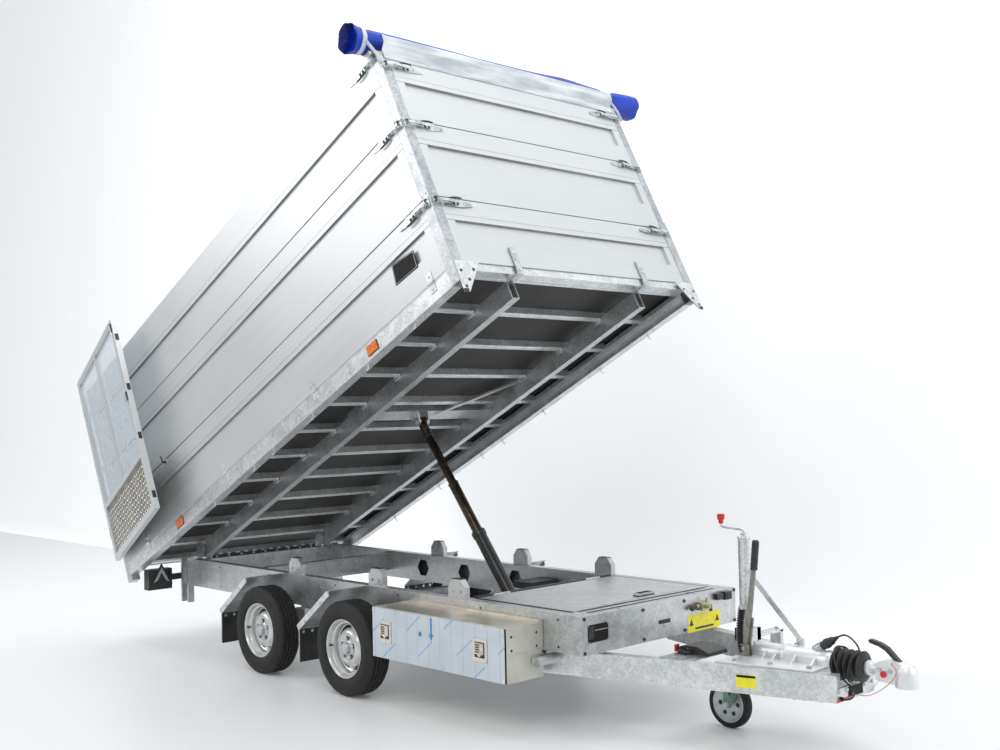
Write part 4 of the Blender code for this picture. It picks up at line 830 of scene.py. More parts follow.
def latch_parts(turn):
    """An over-centre latch on a face at Y = 0: its base at +X on the post, its hasp at -X."""
    metal = Shape()
    metal.box(*LATCH_BASE)
    for side in SIDES:
        edge = both(side, 0.0165, 0.0195)
        metal.prism(LATCH_EAR, "Z", *edge)
        metal.tube([(0.026, 0.013, side * 0.0125), (-0.010, 0.0165, side * 0.0125),
                    (-0.045, 0.0145, side * 0.0125), (-0.056, 0.0125, side * 0.0095),
                    (-0.056, 0.0125, 0)], 0.0028, 0, 8)
    metal.rod((0.026, 0.013, -0.022), (0.026, 0.013, 0.022), 0.0042)
    metal.prism(LATCH_HANDLE, "Z", -0.0085, 0.0085)
    metal.prism(LATCH_HASP, "Y", TOUCH, 0.0042)
    metal.prism(LATCH_HOOK, "Z", -0.0075, 0.0075)
    for x in (-0.020, -0.012):
        metal.rod((x - 0.075, 0.003, 0.012), (x - 0.075, 0.0062, 0.012), 0.004, 0, 12)
    for x, z in ((-0.150, 0.0), (-0.195, 0.0), (0.046, 0.018), (0.046, -0.018)):
        metal.rod((x, 0.003, z), (x, 0.0068, z), 0.0042, 0, 12)
    # Two slots in the hasp, drawn as thin dark marks: painted shade.
    for x in ((-0.092, -0.076), (-0.118, -0.102)):
        metal.box(x, (0.0040, 0.0046), (-0.012, 0.012), 1)
    # A black bar curving under the handle, with a pale ball at its end; it is drawn for a dark
    # strip there that is partly the handle's shade, so it is partly painted shade.
    metal.tube([(-0.060, 0.009, -0.0235), (-0.085, 0.013, -0.0275), (-0.110, 0.014, -0.0285),
                (-0.138, 0.013, -0.0270)], 0.0045, 2, 10)
    metal.ball((-0.140, 0.013, -0.0268), 0.0052, 0)
    bmesh.ops.transform(metal.work, matrix=turn, verts=metal.work.verts)
    if turn.determinant() < 0:
        bmesh.ops.reverse_faces(metal.work, faces=metal.work.faces)
    return metal


def merge(shape, other):
    """Add another shape's faces to a shape."""
    mesh = bpy.data.meshes.new("merge")
    other.work.to_mesh(mesh)
    other.work.free()
    shape.work.from_mesh(mesh)
    bpy.data.meshes.remove(mesh)


class TRAILER_OT_posts(bpy.types.Operator):
    """Make the front corner posts with their board latches"""
    bl_idname = "trailer.posts"
    bl_label = "Posts and latches"

    def execute(self, context):
        for side, hand in HANDS:
            flip = Matrix.Diagonal((1, side, 1, 1))
            inner, outer = both(side, BED_OUT - POST, BED_OUT)
            post = Shape()
            post.box((BED_FRONT - POST, BED_FRONT), (inner, outer), (RAIL_LOW, FRONT_TOP))
            step_y = both(side, BED_OUT - POST, BED_OUT + STEP)
            post.box((BED_FRONT - POST, BED_FRONT + STEP), step_y, (RAIL_LOW, STEP_HIGH))
            y = side * (BED_OUT + STEP)
            for u, w in ((-0.012, 0.030), (-0.046, 0.030), (-0.012, 0.090)):
                post.rod((BED_FRONT + u, y - side * 0.002, STEP_HIGH - w),
                         (BED_FRONT + u, y + side * 0.0012, STEP_HIGH - w), 0.0045, 1, 12)
            cap = both(side, BED_OUT - POST + 0.004, BED_OUT - 0.004)
            post.box((BED_FRONT - POST + 0.004, BED_FRONT - 0.004), cap,
                     (FRONT_TOP - 0.004, FRONT_TOP + 0.0015), 1)
            obj = post.piece(f"corner_post_{hand}", "bed", ("post", "dark"), BED, 0.003)
            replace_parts(obj, f"post_front_{hand}")
            latches = Shape()
            for level in range(3):
                out = STEP if level == 0 else 0.0
                place = Matrix.Translation((BED_FRONT - POST, BED_OUT + out, SIDE_LATCHES[level]))
                merge(latches, latch_parts(flip @ place))
                place = Matrix.Translation((BED_FRONT + out, BED_OUT - POST,
                                            FRONT_LATCHES[level]))
                turn = Matrix.Rotation(math.pi, 4, Vector((1, 1, 0)))
                merge(latches, latch_parts(flip @ place @ turn))
            latches.piece(f"board_latches_{hand}", "bed", ("latch", "dark", "plastic"), BED, 0.0007)
        return {"FINISHED"}


HINGE_U = (0.033, 1.169, 2.249, 3.395)
ROPE_U = (0.35, 0.935, 1.461, 1.70, 2.15, 2.728, 3.167)
LENS_U, LENS_W = (2.828, 0.500), 0.014
RAIL_HINGE, ROPE_PEG, RIVET, GUSSET_BOLT = 0.0075, 0.0042, 0.0055, 0.0085    # radii
GUSSET_BOLTS = ((0.915, -0.070), (0.880, -0.030), (0.915, 0.020), (0.830, 0.030))
CROSS_COUNT, CROSS_START, CROSS_PITCH = 12, -0.330, 0.35209
CROSS_HALF, CROSS_END_HALF, CROSS_REACH, CROSS_LIP = 0.020, 0.032, 0.870, 0.004
RIVET_YS = (-0.86, -0.70, -0.30, 0.0, 0.30, 0.70, 0.86)
TUBE_PLATE_START = 0.022


class TRAILER_OT_rails(bpy.types.Operator):
    """Make the small parts of the bed's frame: hinges, reflectors, rope pegs and rivets"""
    bl_idname = "trailer.rails"
    bl_label = "Bed frame parts"

    def execute(self, context):
        for side, hand in HANDS:
            out = side * BED_OUT
            parts = Shape()
            for u in HINGE_U:
                plate = sorted((out, out + side * 0.005))
                parts.box((u - 0.022, u + 0.022), plate, (0.012, 0.120))
                parts.rod((u - 0.024, out + side * 0.008, RAIL_TOP + 0.001),
                          (u + 0.024, out + side * 0.008, RAIL_TOP + 0.001), RAIL_HINGE)
                for w in (0.030, 0.100):
                    parts.bolt((u, out + side * 0.005, w), (0, side, 0), 0.013, 0.005)
            edge = sorted((out - side * 0.001, out + side * 0.0025))
            parts.box(SPAN, edge, (RAIL_TOP - 0.006, RAIL_TOP - 0.001))
            parts.box(SPAN, edge, (RAIL_LOW, RAIL_LOW + 0.005))
            for u in ROPE_U:
                y = out - side * 0.018
                parts.tube([(u, y, RAIL_LOW + 0.004), (u, y, RAIL_LOW - 0.016),
                            (u, y + side * 0.005, RAIL_LOW - 0.025),
                            (u, y + side * 0.016, RAIL_LOW - 0.030)], ROPE_PEG, 0, 10)
                parts.rod((u, y, RAIL_LOW - 0.004), (u, y, RAIL_LOW), 0.009)
            lens = sorted((out, out + side * 0.007))
            for u in LENS_U:
                w = LENS_W
                parts.box((u - 0.046, u + 0.046), lens, (w - 0.024, w + 0.024), 1)
                parts.box((u - 0.050, u + 0.050), sorted((out, out + side * 0.0035)),
                          (w - 0.028, w + 0.028), 2)
            face = BED_FRONT + STEP + TOUCH + GUSSET_SHEET
            # The gusset's holes are dark discs in bright rings: painted shade in the holes.
            for y, w in GUSSET_BOLTS:
                parts.rod((face - 0.001, side * y, w), (face + 0.0012, side * y, w),
                          GUSSET_BOLT, 3, 20)
                parts.lathe([(0.0085, 0), (0.0105, 0.0018), (0.0125, 0)], "X",
                            (face, side * y, w), 0, 24, True)
            foot = both(side, BED_OUT, BED_OUT - 0.030)
            parts.box((face - GUSSET_SHEET, face + 0.002), foot,
                      (GUSSET_LOW, GUSSET_LOW + 0.016), 3)
            parts.piece(f"rail_parts_{hand}", "bed", ("bright", "orange", "plastic", "dark"), BED,
                        0.0008)
        under = Shape()
        lip_w, lip_y = (CROSS_LOW - CROSS_LIP, CROSS_LOW), (-CROSS_REACH, CROSS_REACH)
        for k in range(CROSS_COUNT):
            u = CROSS_START + CROSS_PITCH * k
            half = CROSS_END_HALF if k in (0, CROSS_COUNT - 1) else CROSS_HALF
            for y in RIVET_YS:
                under.rod((u, y, CROSS_LOW - 0.0022), (u, y, CROSS_LOW + 0.002), RIVET, 0, 10)
            under.box((u - half, u - half + 0.003), lip_y, lip_w)
            under.box((u + half - 0.003, u + half), lip_y, lip_w)
        for side in SIDES:
            for k in range(CROSS_COUNT):
                u = TUBE_PLATE_START + CROSS_PITCH * k
                if u < TUBE_FRONT - 0.05:
                    for y in (TUBE_Y - TUBE_HALF - 0.004, TUBE_Y + TUBE_HALF + 0.004):
                        under.box((u - 0.030, u + 0.030), (side * y - 0.003, side * y + 0.003),
                                  (0.015, CROSS_LOW - TOUCH))
            lip = (BED_FRONT + 0.011, BED_FRONT + 0.013)
            under.box(lip, (side * TUBE_Y - 0.016, side * TUBE_Y + 0.016), (0.150, 0.186))
            for w in (0.055, 0.120):
                under.bolt((BED_FRONT + 0.011, side * TUBE_Y, w), (1, 0, 0), 0.014, 0.006)
        under.piece("floor_rivets_and_lips", "bed", ("bright",), BED, 0.0006)
        dress_plate()
        dress_holder()
        return {"FINISHED"}


SIDE_PLATE = ((3.150, 0.198), (3.346, 0.190), (3.352, 0.287), (3.168, 0.312))
PLATE_LINE = ((3.156, 0.204), (3.340, 0.197), (3.345, 0.282), (3.173, 0.305))
HOOK_U, HOOK_W = 0.505, 0.446           # where the open leaf's hook sits on the side wall


def dress_plate():
    """The bare black plate with its thin frame on the right wall's lowest board."""
    plate = Shape()
    y = -BED_OUT
    plate.prism(SIDE_PLATE, "Y", y - 0.0028, y - 0.0003)
    for a, b in zip(PLATE_LINE, PLATE_LINE[1:] + PLATE_LINE[:1]):
        plate.rod((a[0], y - 0.0029, a[1]), (b[0], y - 0.0029, b[1]), 0.0011, 1, 8)
    plate.piece("side_plate", "bed", ("bare", "silver"), BED, 0.0008)


def dress_holder():
    """The hooks that hold the open leaves against the side walls."""
    for side, hand in HANDS:
        y = side * BED_OUT
        hook = Shape()
        hook.box((0.485, 0.525), sorted((y, y + side * 0.003)), (0.430, 0.462))
        hook.rod((HOOK_U, y, HOOK_W), (HOOK_U, y + side * 0.022, HOOK_W), 0.008, 1)
        hook.tube([(HOOK_U, y + side * 0.020, HOOK_W), (0.512, y + side * 0.030, 0.452),
                   (0.512, y + side * 0.032, 0.480), (0.500, y + side * 0.030, 0.492)],
                  0.0045, 1, 8)
        for u in (0.490, 0.520):
            hook.rod((u, y, 0.436), (u, y + side * 0.0045, 0.436), 0.003, 0, 10)
        hook.piece(f"leaf_hook_{hand}", "bed", ("bright", "plastic"), BED, 0.0006)


# Tarpaulin and its shield

ROLL_U, ROLL_W, ROLL_TIGHT = 3.500, 1.505, 0.0725
ROLL_ENDS = (-1.055, 1.235)          # it lies a little to the left
ROLL_CORE, ROLL_TURNS = 0.014, 14
ROLL_SIDES, ROLL_STEPS = 40, 89
SWELL_FRAMES, SWELL_PRESSURE, SWELL_REACH = 16, 3.0, 0.006
TIE_Y = 0.968                         # a strap over each side wall
TIES = (-TIE_Y, -0.55, 0.0, 0.55, TIE_Y)
EYELETS, EYELET_START, EYELET_PITCH = 9, -0.96, 0.24


FOLDS = ((0.0013, 5, 7.0, 0.0), (0.0012, 3, -13.0, 1.0))      # height, turns, along, phase
END_WAVES = ((0.0030, 4, 17.0, 0.0), (0.0026, 7, -11.0, 0.0))
LAYER_WAVES = ((0.0045, 2.4, 0.0, 0.0), (0.003, 5.1, 0.0, 1.0))
DENTS = ((0.020, 0.99, 0.05), (0.007, -TIE_Y, 0.03))           # depth, place and width of a tie's
LIFTS = ((0.017, 0.60, 0.26), (0.006, -0.62, 0.2))             # and of where the roll rises


def ripple(table, angle, y=0.0):
    """The sum of a table's waves at an angle and a place."""
    return sum(height * math.sin(turns * angle + along * y + phase)
               for height, turns, along, phase in table)


def roll_end(y, start):
    """How far a place lies outside the walls, from 0 at start to 1 at the roll's end."""
    return max(0.0, (abs(y) - start) / (abs(ROLL_ENDS[y > 0]) - start))


def roll_radius(y, angle, flare):
    """The tarpaulin roll's radius: shallow folds along it, ties and wider gathered ends."""
    end = roll_end(y, 0.93)
    radius = ROLL_TIGHT + (flare - ROLL_TIGHT) * end ** 1.4
    for depth, place, width in DENTS:
        radius -= depth * math.exp(-((y - place) / width) ** 2)
    return radius + ripple(FOLDS, angle, y) * (1 - 0.5 * end) + end * ripple(END_WAVES, angle, y)


def roll_axis(y):
    """The middle of the roll at a place along it; it lies loosely between its ties."""
    end = roll_end(y, 0.95)
    lift = sum(high * math.exp(-((y - place) / width) ** 2) for high, place, width in LIFTS)
    return Vector((ROLL_U + 0.010 * end ** 2, y, ROLL_W + lift - 0.010 * end ** 2))


def roll_along(k):
    """Where station k lies along the roll."""
    return ROLL_ENDS[0] + (ROLL_ENDS[1] - ROLL_ENDS[0]) * k / (ROLL_STEPS - 1)


def roll_station(y):
    """The station nearest to a place."""
    return round((y - ROLL_ENDS[0]) / (ROLL_ENDS[1] - ROLL_ENDS[0]) * (ROLL_STEPS - 1))


def roll_skin(flare):
    """The outline of the roll as rows of points round it, one row for each place along it."""
    rows = []
    for k in range(ROLL_STEPS):
        y = roll_along(k)
        centre = roll_axis(y)
        row = []
        for n in range(ROLL_SIDES):
            a = math.tau * n / ROLL_SIDES
            r = roll_radius(y, a, flare)
            row.append(centre + Vector((r * math.cos(a), 0, r * math.sin(a))))
        rows.append(row)
    return rows


def swollen(rows):
    """The same rows after the closed skin has swollen as cloth between its ties."""
    work = Shape()
    work.grid(rows, 0, True)
    for k in (0, (len(rows) - 1) * ROLL_SIDES):
        work.work.verts.ensure_lookup_table()
        work.work.faces.new([work.work.verts[k + n] for n in range(ROLL_SIDES)])
    bmesh.ops.recalc_face_normals(work.work, faces=work.work.faces)
    obj = work.piece("roll_skin", "bed", ("tarp",))
    group = obj.vertex_groups.new(name="held")
    for vertex in obj.data.vertices:
        if any(abs(vertex.co.y - place) < 0.015 for place in TIES):
            group.add([vertex.index], 1.0, "REPLACE")
    cloth = obj.modifiers.new("cloth", "CLOTH")
    cloth.settings.vertex_group_mass = "held"
    cloth.settings.use_pressure = True
    cloth.settings.uniform_pressure_force = SWELL_PRESSURE
    cloth.settings.tension_stiffness = 30
    cloth.settings.bending_stiffness = 0.6
    cloth.settings.effector_weights.gravity = 0
    cloth.point_cache.frame_start = 1
    cloth.point_cache.frame_end = SWELL_FRAMES
    for number in range(1, SWELL_FRAMES + 1):
        bpy.context.scene.frame_set(number)
    graph = bpy.context.evaluated_depsgraph_get()
    moved = [v.co.copy() for v in obj.evaluated_get(graph).data.vertices]
    bpy.context.scene.frame_set(1)
    bpy.data.objects.remove(obj)
    made = []
    for k, row in enumerate(rows):
        new = []
        for n, old in enumerate(row):
            shift = moved[k * ROLL_SIDES + n] - old
            shift.y = 0.0
            if shift.length > SWELL_REACH:
                shift *= SWELL_REACH / shift.length
            new.append(old + shift)
        made.append(new)
    return made


def rolled_sheet(rows):
    """The tarpaulin itself: one sheet rolled up inside the skin, its layers open at the ends."""
    count = ROLL_TURNS * ROLL_SIDES
    sheet = []
    for c in range(count + 1):
        share = c / count
        layer = ripple(LAYER_WAVES, c / ROLL_SIDES)
        line = []
        for k, row in enumerate(rows):
            y = roll_along(k)
            centre = roll_axis(y)
            spot = row[c % ROLL_SIDES]
            grow = (ROLL_CORE + (ROLL_TIGHT - ROLL_CORE) * share) / ROLL_TIGHT
            end = roll_end(y, 0.98) ** 2
            place = centre.lerp(spot, grow)
            place.y -= math.copysign(end * (0.009 + layer), y)
            line.append(place)
        sheet.append(line)
    return sheet


SHIELD = ((3.5876, 1.335), (3.5876, 1.386), (3.6200, 1.412), (3.6270, 1.458), (3.6060, 1.466))
SHIELD_YS = (-0.905, -0.900, -0.6, -0.3, 0.0, 0.3, 0.6, 0.900, 0.905)


class TRAILER_OT_tarpaulin(bpy.types.Operator):
    """Make the rolled tarpaulin, its straps and the folded shield before it"""
    bl_idname = "trailer.tarpaulin"
    bl_label = "Tarpaulin and shield"

    def execute(self, context):
        rows = roll_skin(context.scene.trailer_detail.roll_flare)
        rows = swollen(rows)
        cloth = Shape()
        cloth.grid(rolled_sheet(rows))
        roll = cloth.piece("tarpaulin", "bed", ("tarp",), BED, angle=60)
        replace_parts(roll, "tarpaulin_roll")
        straps = Shape()
        for side in SIDES:
            y = side * TIE_Y
            centre = roll_axis(y)
            ring = [centre + (p - Vector((0, p.y - y, 0)) - centre) * 1.022
                    for p in rows[roll_station(y)]]
            wide = Vector((0, 0.014, 0))
            straps.grid([[p - wide for p in ring], [p + wide for p in ring]], 0, True)
            edge = side * (BED_OUT + 0.012)
            tail = [(3.560, y, 1.455), (3.575, y - side * 0.006, 1.400),
                    (3.588, edge + side * 0.004, 1.350), (3.590, edge + side * 0.002, 1.285)]
            straps.grid([[(u - 0.010, v, w) for u, v, w in tail],
                         [(u + 0.010, v, w) for u, v, w in tail]], 0)
            straps.lathe([(0.008, 0), (0.0105, 0.0022), (0.013, 0), (0.0105, -0.0022)], "Y",
                         (3.590, edge + side * 0.002, 1.272), 1, 24, True)
        band = straps.piece("tarpaulin_straps", "bed", ("webbing", "latch"), BED)
        thick = band.modifiers.new("thickness", "SOLIDIFY")
        thick.thickness = 0.0018
        eyes = Shape()
        for number in range(EYELETS):
            y = EYELET_START + EYELET_PITCH * number
            spot = rows[roll_station(y)][ROLL_SIDES // 3]
            away = (spot - roll_axis(spot.y)).normalized()
            eyes.rod(spot - away * 0.001, spot + away * 0.0012, 0.011, 0, 20)
        rings = eyes.piece("tarpaulin_eyelets", "bed", ("latch",), BED)

        shield = Shape()
        shield.grid([[(u, y, w) for y in SHIELD_YS] for u, w in SHIELD])
        sheet = shield.piece("tarpaulin_shield", "bed", ("sheet",), BED, angle=20)
        body = sheet.modifiers.new("thickness", "SOLIDIFY")
        body.thickness = 0.0038
        body.offset = 1.0 if sheet.data.polygons[0].normal.x < 0 else -1.0
        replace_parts(sheet, "front_shield")
        trim = Shape()
        for k in range(8):
            y = -0.84 + 0.24 * k
            foot = SHIELD[0][0]
            trim.rod((foot - 0.001, y, 1.352), (foot + 0.0035, y, 1.352), 0.0048, 0, 12)
        trim.piece("shield_trim", "bed", ("bright",), BED)
        return {"FINISHED"}


# Rear leaves

LEAF_HINGE = (-0.392, 0.975)
LEAF_OPEN = math.radians(262.0)
LEAF_START, LEAF_STOP, LEAF_LOW, LEAF_TOP = 0.022, 0.971, 0.100, 1.500
LEAF_BAR, LEAF_THICK, LEAF_SPLIT = 0.040, 0.036, 0.520
LUGS = (0.30, 0.80, 1.25)
MESH_ROW = 0.36       # the mesh rows' pitch as a share of the columns' pitch
LUG_HALF, SPLIT_HALF = 0.026, 0.012
DROPS = (22, 10)      # columns and rows of raised drops on the foot plate
DROP_PITCH, DROP_SIZE = (0.0400, 0.0340), (0.0200, 0.0075, 0.0026)
DROP_START, DROP_MARGIN, FOOT_HALF = 0.020, 0.016, 0.006
BUFFERS, LEAF_LATCHES = (0.20, 0.62, 0.98, 1.36), (0.92, 1.44)


def leaf_matrix(side):
    """The frame of an open leaf; side is -1 for the right one."""
    hinge = Matrix.Translation((LEAF_HINGE[0], side * LEAF_HINGE[1], 0))
    return BED @ hinge @ Matrix.Rotation(-side * LEAF_OPEN, 4, "Z")


class TRAILER_OT_leaves(bpy.types.Operator):
    """Make the rear leaves: frame, fine mesh, chequered foot plate, knuckles and latches"""
    bl_idname = "trailer.leaves"
    bl_label = "Rear leaves"

    def execute(self, context):
        pitch = context.scene.trailer_detail.mesh_pitch
        for side, hand in HANDS:
            mats = ("board", "grid", "tread", "plastic", "latch", "drop")
            obj = leaf_shape(side, pitch).piece(f"leaf_{hand}", f"leaf_{hand}", mats,
                                                leaf_matrix(side), 0.0016)
            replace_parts(obj, f"rear_leaf_{hand}")
        return {"FINISHED"}


def leaf_shape(side, pitch):
    """A leaf drawn closed; its hinge is on the Z axis and it reaches inward along Y."""
    leaf = Shape()
    half, b = LEAF_THICK / 2, LEAF_BAR

    def bar(y, z, x=(-half, half), mat=0):
        leaf.box(x, sorted((-side * y[0], -side * y[1])), z, mat)

    middle = (LEAF_START + LEAF_STOP) / 2
    bar((LEAF_STOP - b, LEAF_STOP), (LEAF_LOW, LEAF_TOP))
    edges = [LEAF_LOW]
    for height in LUGS:
        edges += [height - LUG_HALF, height + LUG_HALF]
    edges.append(LEAF_TOP)
    for low, high in zip(edges[::2], edges[1::2]):
        bar((LEAF_START, LEAF_START + b), (low, high))
    for height in LUGS:
        bar((0.045, LEAF_START + b), (height - 0.0262, height + 0.0262))
        leaf.rod((0, 0, height + 0.021), (0, 0, height + 0.058), 0.011)
        bar((0.004, LEAF_START + 0.006), (height + 0.022, height + 0.057), (-0.007, 0.007))
    inner = (LEAF_START + b, LEAF_STOP - b)
    for z in ((LEAF_LOW, LEAF_LOW + b), (LEAF_SPLIT - b, LEAF_SPLIT), (LEAF_TOP - b, LEAF_TOP)):
        bar(inner, z)
    bar((middle - SPLIT_HALF, middle + SPLIT_HALF), (LEAF_SPLIT, LEAF_TOP - b))
    bar(inner, (LEAF_LOW + b, LEAF_SPLIT - b), (-FOOT_HALF, FOOT_HALF), 2)
    for column in ((inner[0], middle - SPLIT_HALF), (middle + SPLIT_HALF, inner[1])):
        count = round((column[1] - column[0]) / pitch)
        for k in range(1, count):
            y = column[0] + (column[1] - column[0]) * k / count
            bar((y - 0.0014, y + 0.0014), (LEAF_SPLIT, LEAF_TOP - b), (-0.0022, 0.0002), 1)
        rows = round((LEAF_TOP - b - LEAF_SPLIT) / (pitch * MESH_ROW))
        for k in range(1, rows):
            z = LEAF_SPLIT + (LEAF_TOP - b - LEAF_SPLIT) * k / rows
            bar(column, (z - 0.0046, z + 0.0046), (-0.0004, 0.0024), 1)
    for k in range(DROPS[0]):
        for n in range(DROPS[1]):
            y = inner[0] + DROP_START + k * DROP_PITCH[0]
            z = LEAF_LOW + b + DROP_START + n * DROP_PITCH[1]
            tilt = 1 if (k + n) % 2 else -1
            if y > inner[1] - DROP_MARGIN or z > LEAF_SPLIT - b - DROP_MARGIN:
                continue
            for face in SIDES:
                leaf.lozenge((face * FOOT_HALF, -side * y, z), face, tilt, *DROP_SIZE, 5)
    for z in BUFFERS:
        bar((LEAF_STOP - 0.004, LEAF_STOP + 0.003), (z - 0.024, z + 0.024), (-0.012, 0.012), 3)
    for z in LEAF_LATCHES:
        bar((LEAF_STOP - b * 0.8, LEAF_STOP - 0.010), (z - 0.030, z + 0.030),
            (half, half + 0.006), 3)
        bar((LEAF_STOP - b * 0.6, LEAF_STOP - 0.018), (z - 0.060, z + 0.012),
            (half + 0.005, half + 0.014), 4)
    return leaf


# Ram

RAM_FOOT = Vector((0.949, 0, 0.420))     # the foot pin, on the chassis
RAM_HEAD = Vector((1.980, 0, -0.010))    # the head pin, on the bed


class TRAILER_OT_ram(bpy.types.Operator):
    """Make the ram's gland rings, ports and head block"""
    bl_idname = "trailer.ram"
    bl_label = "Ram parts"

    def execute(self, context):
        head = Vector((HINGE.x, 0, HINGE.z)) + Matrix.Rotation(TIP, 3, "Y") @ RAM_HEAD
        run = head - RAM_FOOT
        reach = run.length
        turn = Matrix.Rotation(-math.atan2(run.z, run.x), 4, "Y")
        ram = CHASSIS @ Matrix.Translation(RAM_FOOT) @ turn
        barrel = Shape()
        barrel.lathe([(0.0385, 0.040), (0.0392, 0.048), (0.0388, 0.100), (0.0388, 0.500),
                      (0.0425, 0.504), (0.0435, 0.520), (0.0435, 0.533), (0.0400, 0.5385),
                      (0.0325, 0.5385), (0.0325, 0.530)], "X", steps=48)
        barrel.lathe([(0.0346, 0.5386), (0.0380, 0.5389), (0.0380, 0.5399), (0.0346, 0.5402)], "X",
                     mat=1, steps=48, closed=True)
        barrel.rod((0.095, 0, 0.036), (0.095, 0, 0.056), 0.012, 1, 6)
        barrel.rod((0.095, 0, 0.050), (0.112, 0, 0.066), 0.008, 1, 16)
        barrel.piece("barrel_rings", "ram_barrel", ("black", "latch"), ram)
        first = Shape()
        first.lathe([(0.0262, 0.8894), (0.0330, 0.8893), (0.0337, 0.8888), (0.0337, 0.8872),
                     (0.0330, 0.8867), (0.0313, 0.8866), (0.0313, 0.8850)], "X", steps=48)
        first.piece("stage_ring", "ram_stage_1", ("black",), ram)
        last = Shape()
        last.lathe([(0.0278, 1.2390), (0.0300, 1.2420), (0.0300, 1.2560), (0.0278, 1.2600)], "X",
                   steps=48)
        for side in SIDES:
            last.rod((reach, side * 0.026, 0), (reach, side * 0.0333, 0), 0.0300, 1)
        last.piece("head_ring", "ram_stage_2", ("black", "latch"), ram)
        pin = Shape()
        for side in SIDES:
            pin.bolt((RAM_HEAD.x, side * 0.0443, RAM_HEAD.z), (0, side, 0), 0.036, 0.012)
        pin.piece("head_pin", "bed", ("latch",), BED, 0.0008)
        base = Shape()
        for side in SIDES:
            base.bolt((RAM_FOOT.x, side * 0.0568, RAM_FOOT.z), (0, side, 0), 0.034, 0.011)
            for x, z in ((1.000, 0.455), (1.000, 0.400)):
                base.rod((x, side * 0.055, z), (x, side * 0.0595, z), 0.006)
        base.piece("foot_pin", "chassis", ("latch",), CHASSIS, 0.0008)
        return {"FINISHED"}


# Wheels

WHEEL_Y, TYRE_RADIUS, WHEEL_X = 0.787, 0.261, 0.435
WHEELS = [(f"{row}_{hand}", side, x) for row, x in (("rear", -WHEEL_X), ("front", WHEEL_X))
          for side, hand in HANDS]
TREAD_HALF = ((-0.0535, 0.0), (-0.046, 0.0), (-0.040, 0.0), (-0.038, -0.007), (-0.034, -0.007),
              (-0.032, 0.0), (-0.024, 0.0), (-0.016, 0.0), (-0.014, -0.007), (-0.010, -0.007),
              (-0.008, 0.0))
TREAD = (*TREAD_HALF, (0.0, 0.0), *((-place, depth) for place, depth in reversed(TREAD_HALF)))
WALL = ((0.1615, 0.0595), (0.1640, 0.0640), (0.1700, 0.0705), (0.1740, 0.0712), (0.1765, 0.0735),
        (0.1900, 0.0765), (0.2090, 0.0775), (0.2200, 0.0768), (0.2225, 0.0742), (0.2300, 0.0725),
        (0.2400, 0.0690), (0.2480, 0.0660), (0.2535, 0.0625), (0.2580, 0.0580))
TYRE_STEPS, RIM_STEPS, VENT_STEPS, SIPE_STEPS = 192, 72, 18, 6
TREAD_PITCH, SIPE_DEPTH, TREAD_DROP = 0.024, 0.0042, 0.0006     # the drop is that of the shoulders
BOLT_CIRCLE, BOLT_FACE = 0.053, 0.0335
RIM_SLOT_EDGES, HUB_EDGES = (13, 14), 5


def tyre_profile(step):
    """The tyre's section at one step round it, with sipes across the ribs."""
    profile = [(r, -h) for r, h in WALL]
    for place, depth in TREAD:
        rib = round((place + 2 * TREAD_PITCH) / TREAD_PITCH)
        cut = depth == 0.0 and (step + 2 * rib) % SIPE_STEPS == 0
        edge = TREAD_DROP * (place / TREAD[0][0]) ** 2
        profile.append((TYRE_RADIUS - edge + depth - (SIPE_DEPTH if cut else 0.0), place))
    return profile + [(r, h) for r, h in reversed(WALL)]


def rim_profile(side, step):
    """The rim's section at one step: lip, well, slots and dished disc with its hub cap."""
    vent = step % VENT_STEPS not in (0, 1, 2, 3)
    low = -0.010 if vent else 0.0
    outer = [(0.0, 0.0642), (0.022, 0.0638), (0.0290, 0.0610), (0.0325, 0.0560), (0.0335, 0.0400),
             (0.0400, 0.0385), (0.0460, 0.0340), (0.0620, 0.0335), (0.0720, 0.0385),
             (0.0860, 0.0370), (0.0960, 0.0300), (0.1050, 0.0180), (0.1090, 0.0080),
             (0.1115, 0.0040 + low), (0.1225, 0.0020 + low), (0.1250, 0.0040), (0.1300, 0.0080),
             (0.1330, 0.0250), (0.1370, 0.0330), (0.1440, 0.0355), (0.1475, 0.0400),
             (0.1490, 0.0500), (0.1535, 0.0585), (0.1570, 0.0640), (0.1612, 0.0640),
             (0.1612, 0.0595)]
    inner = [(0.1612, -0.0595), (0.1575, -0.0655), (0.1440, -0.0555), (0.1435, -0.0200),
             (0.1000, -0.0150), (0.1000, -0.1337), (0.0, -0.1337)]
    return [(r, side * h) for r, h in outer + inner]


def rim_paint(step, edge):
    """The rim's materials: painted shade in its slots, pale on its hub cap, silver elsewhere."""
    if edge in RIM_SLOT_EDGES and step % VENT_STEPS not in (0, 1, 2, 17):
        return 1
    return 2 if edge < HUB_EDGES else 0


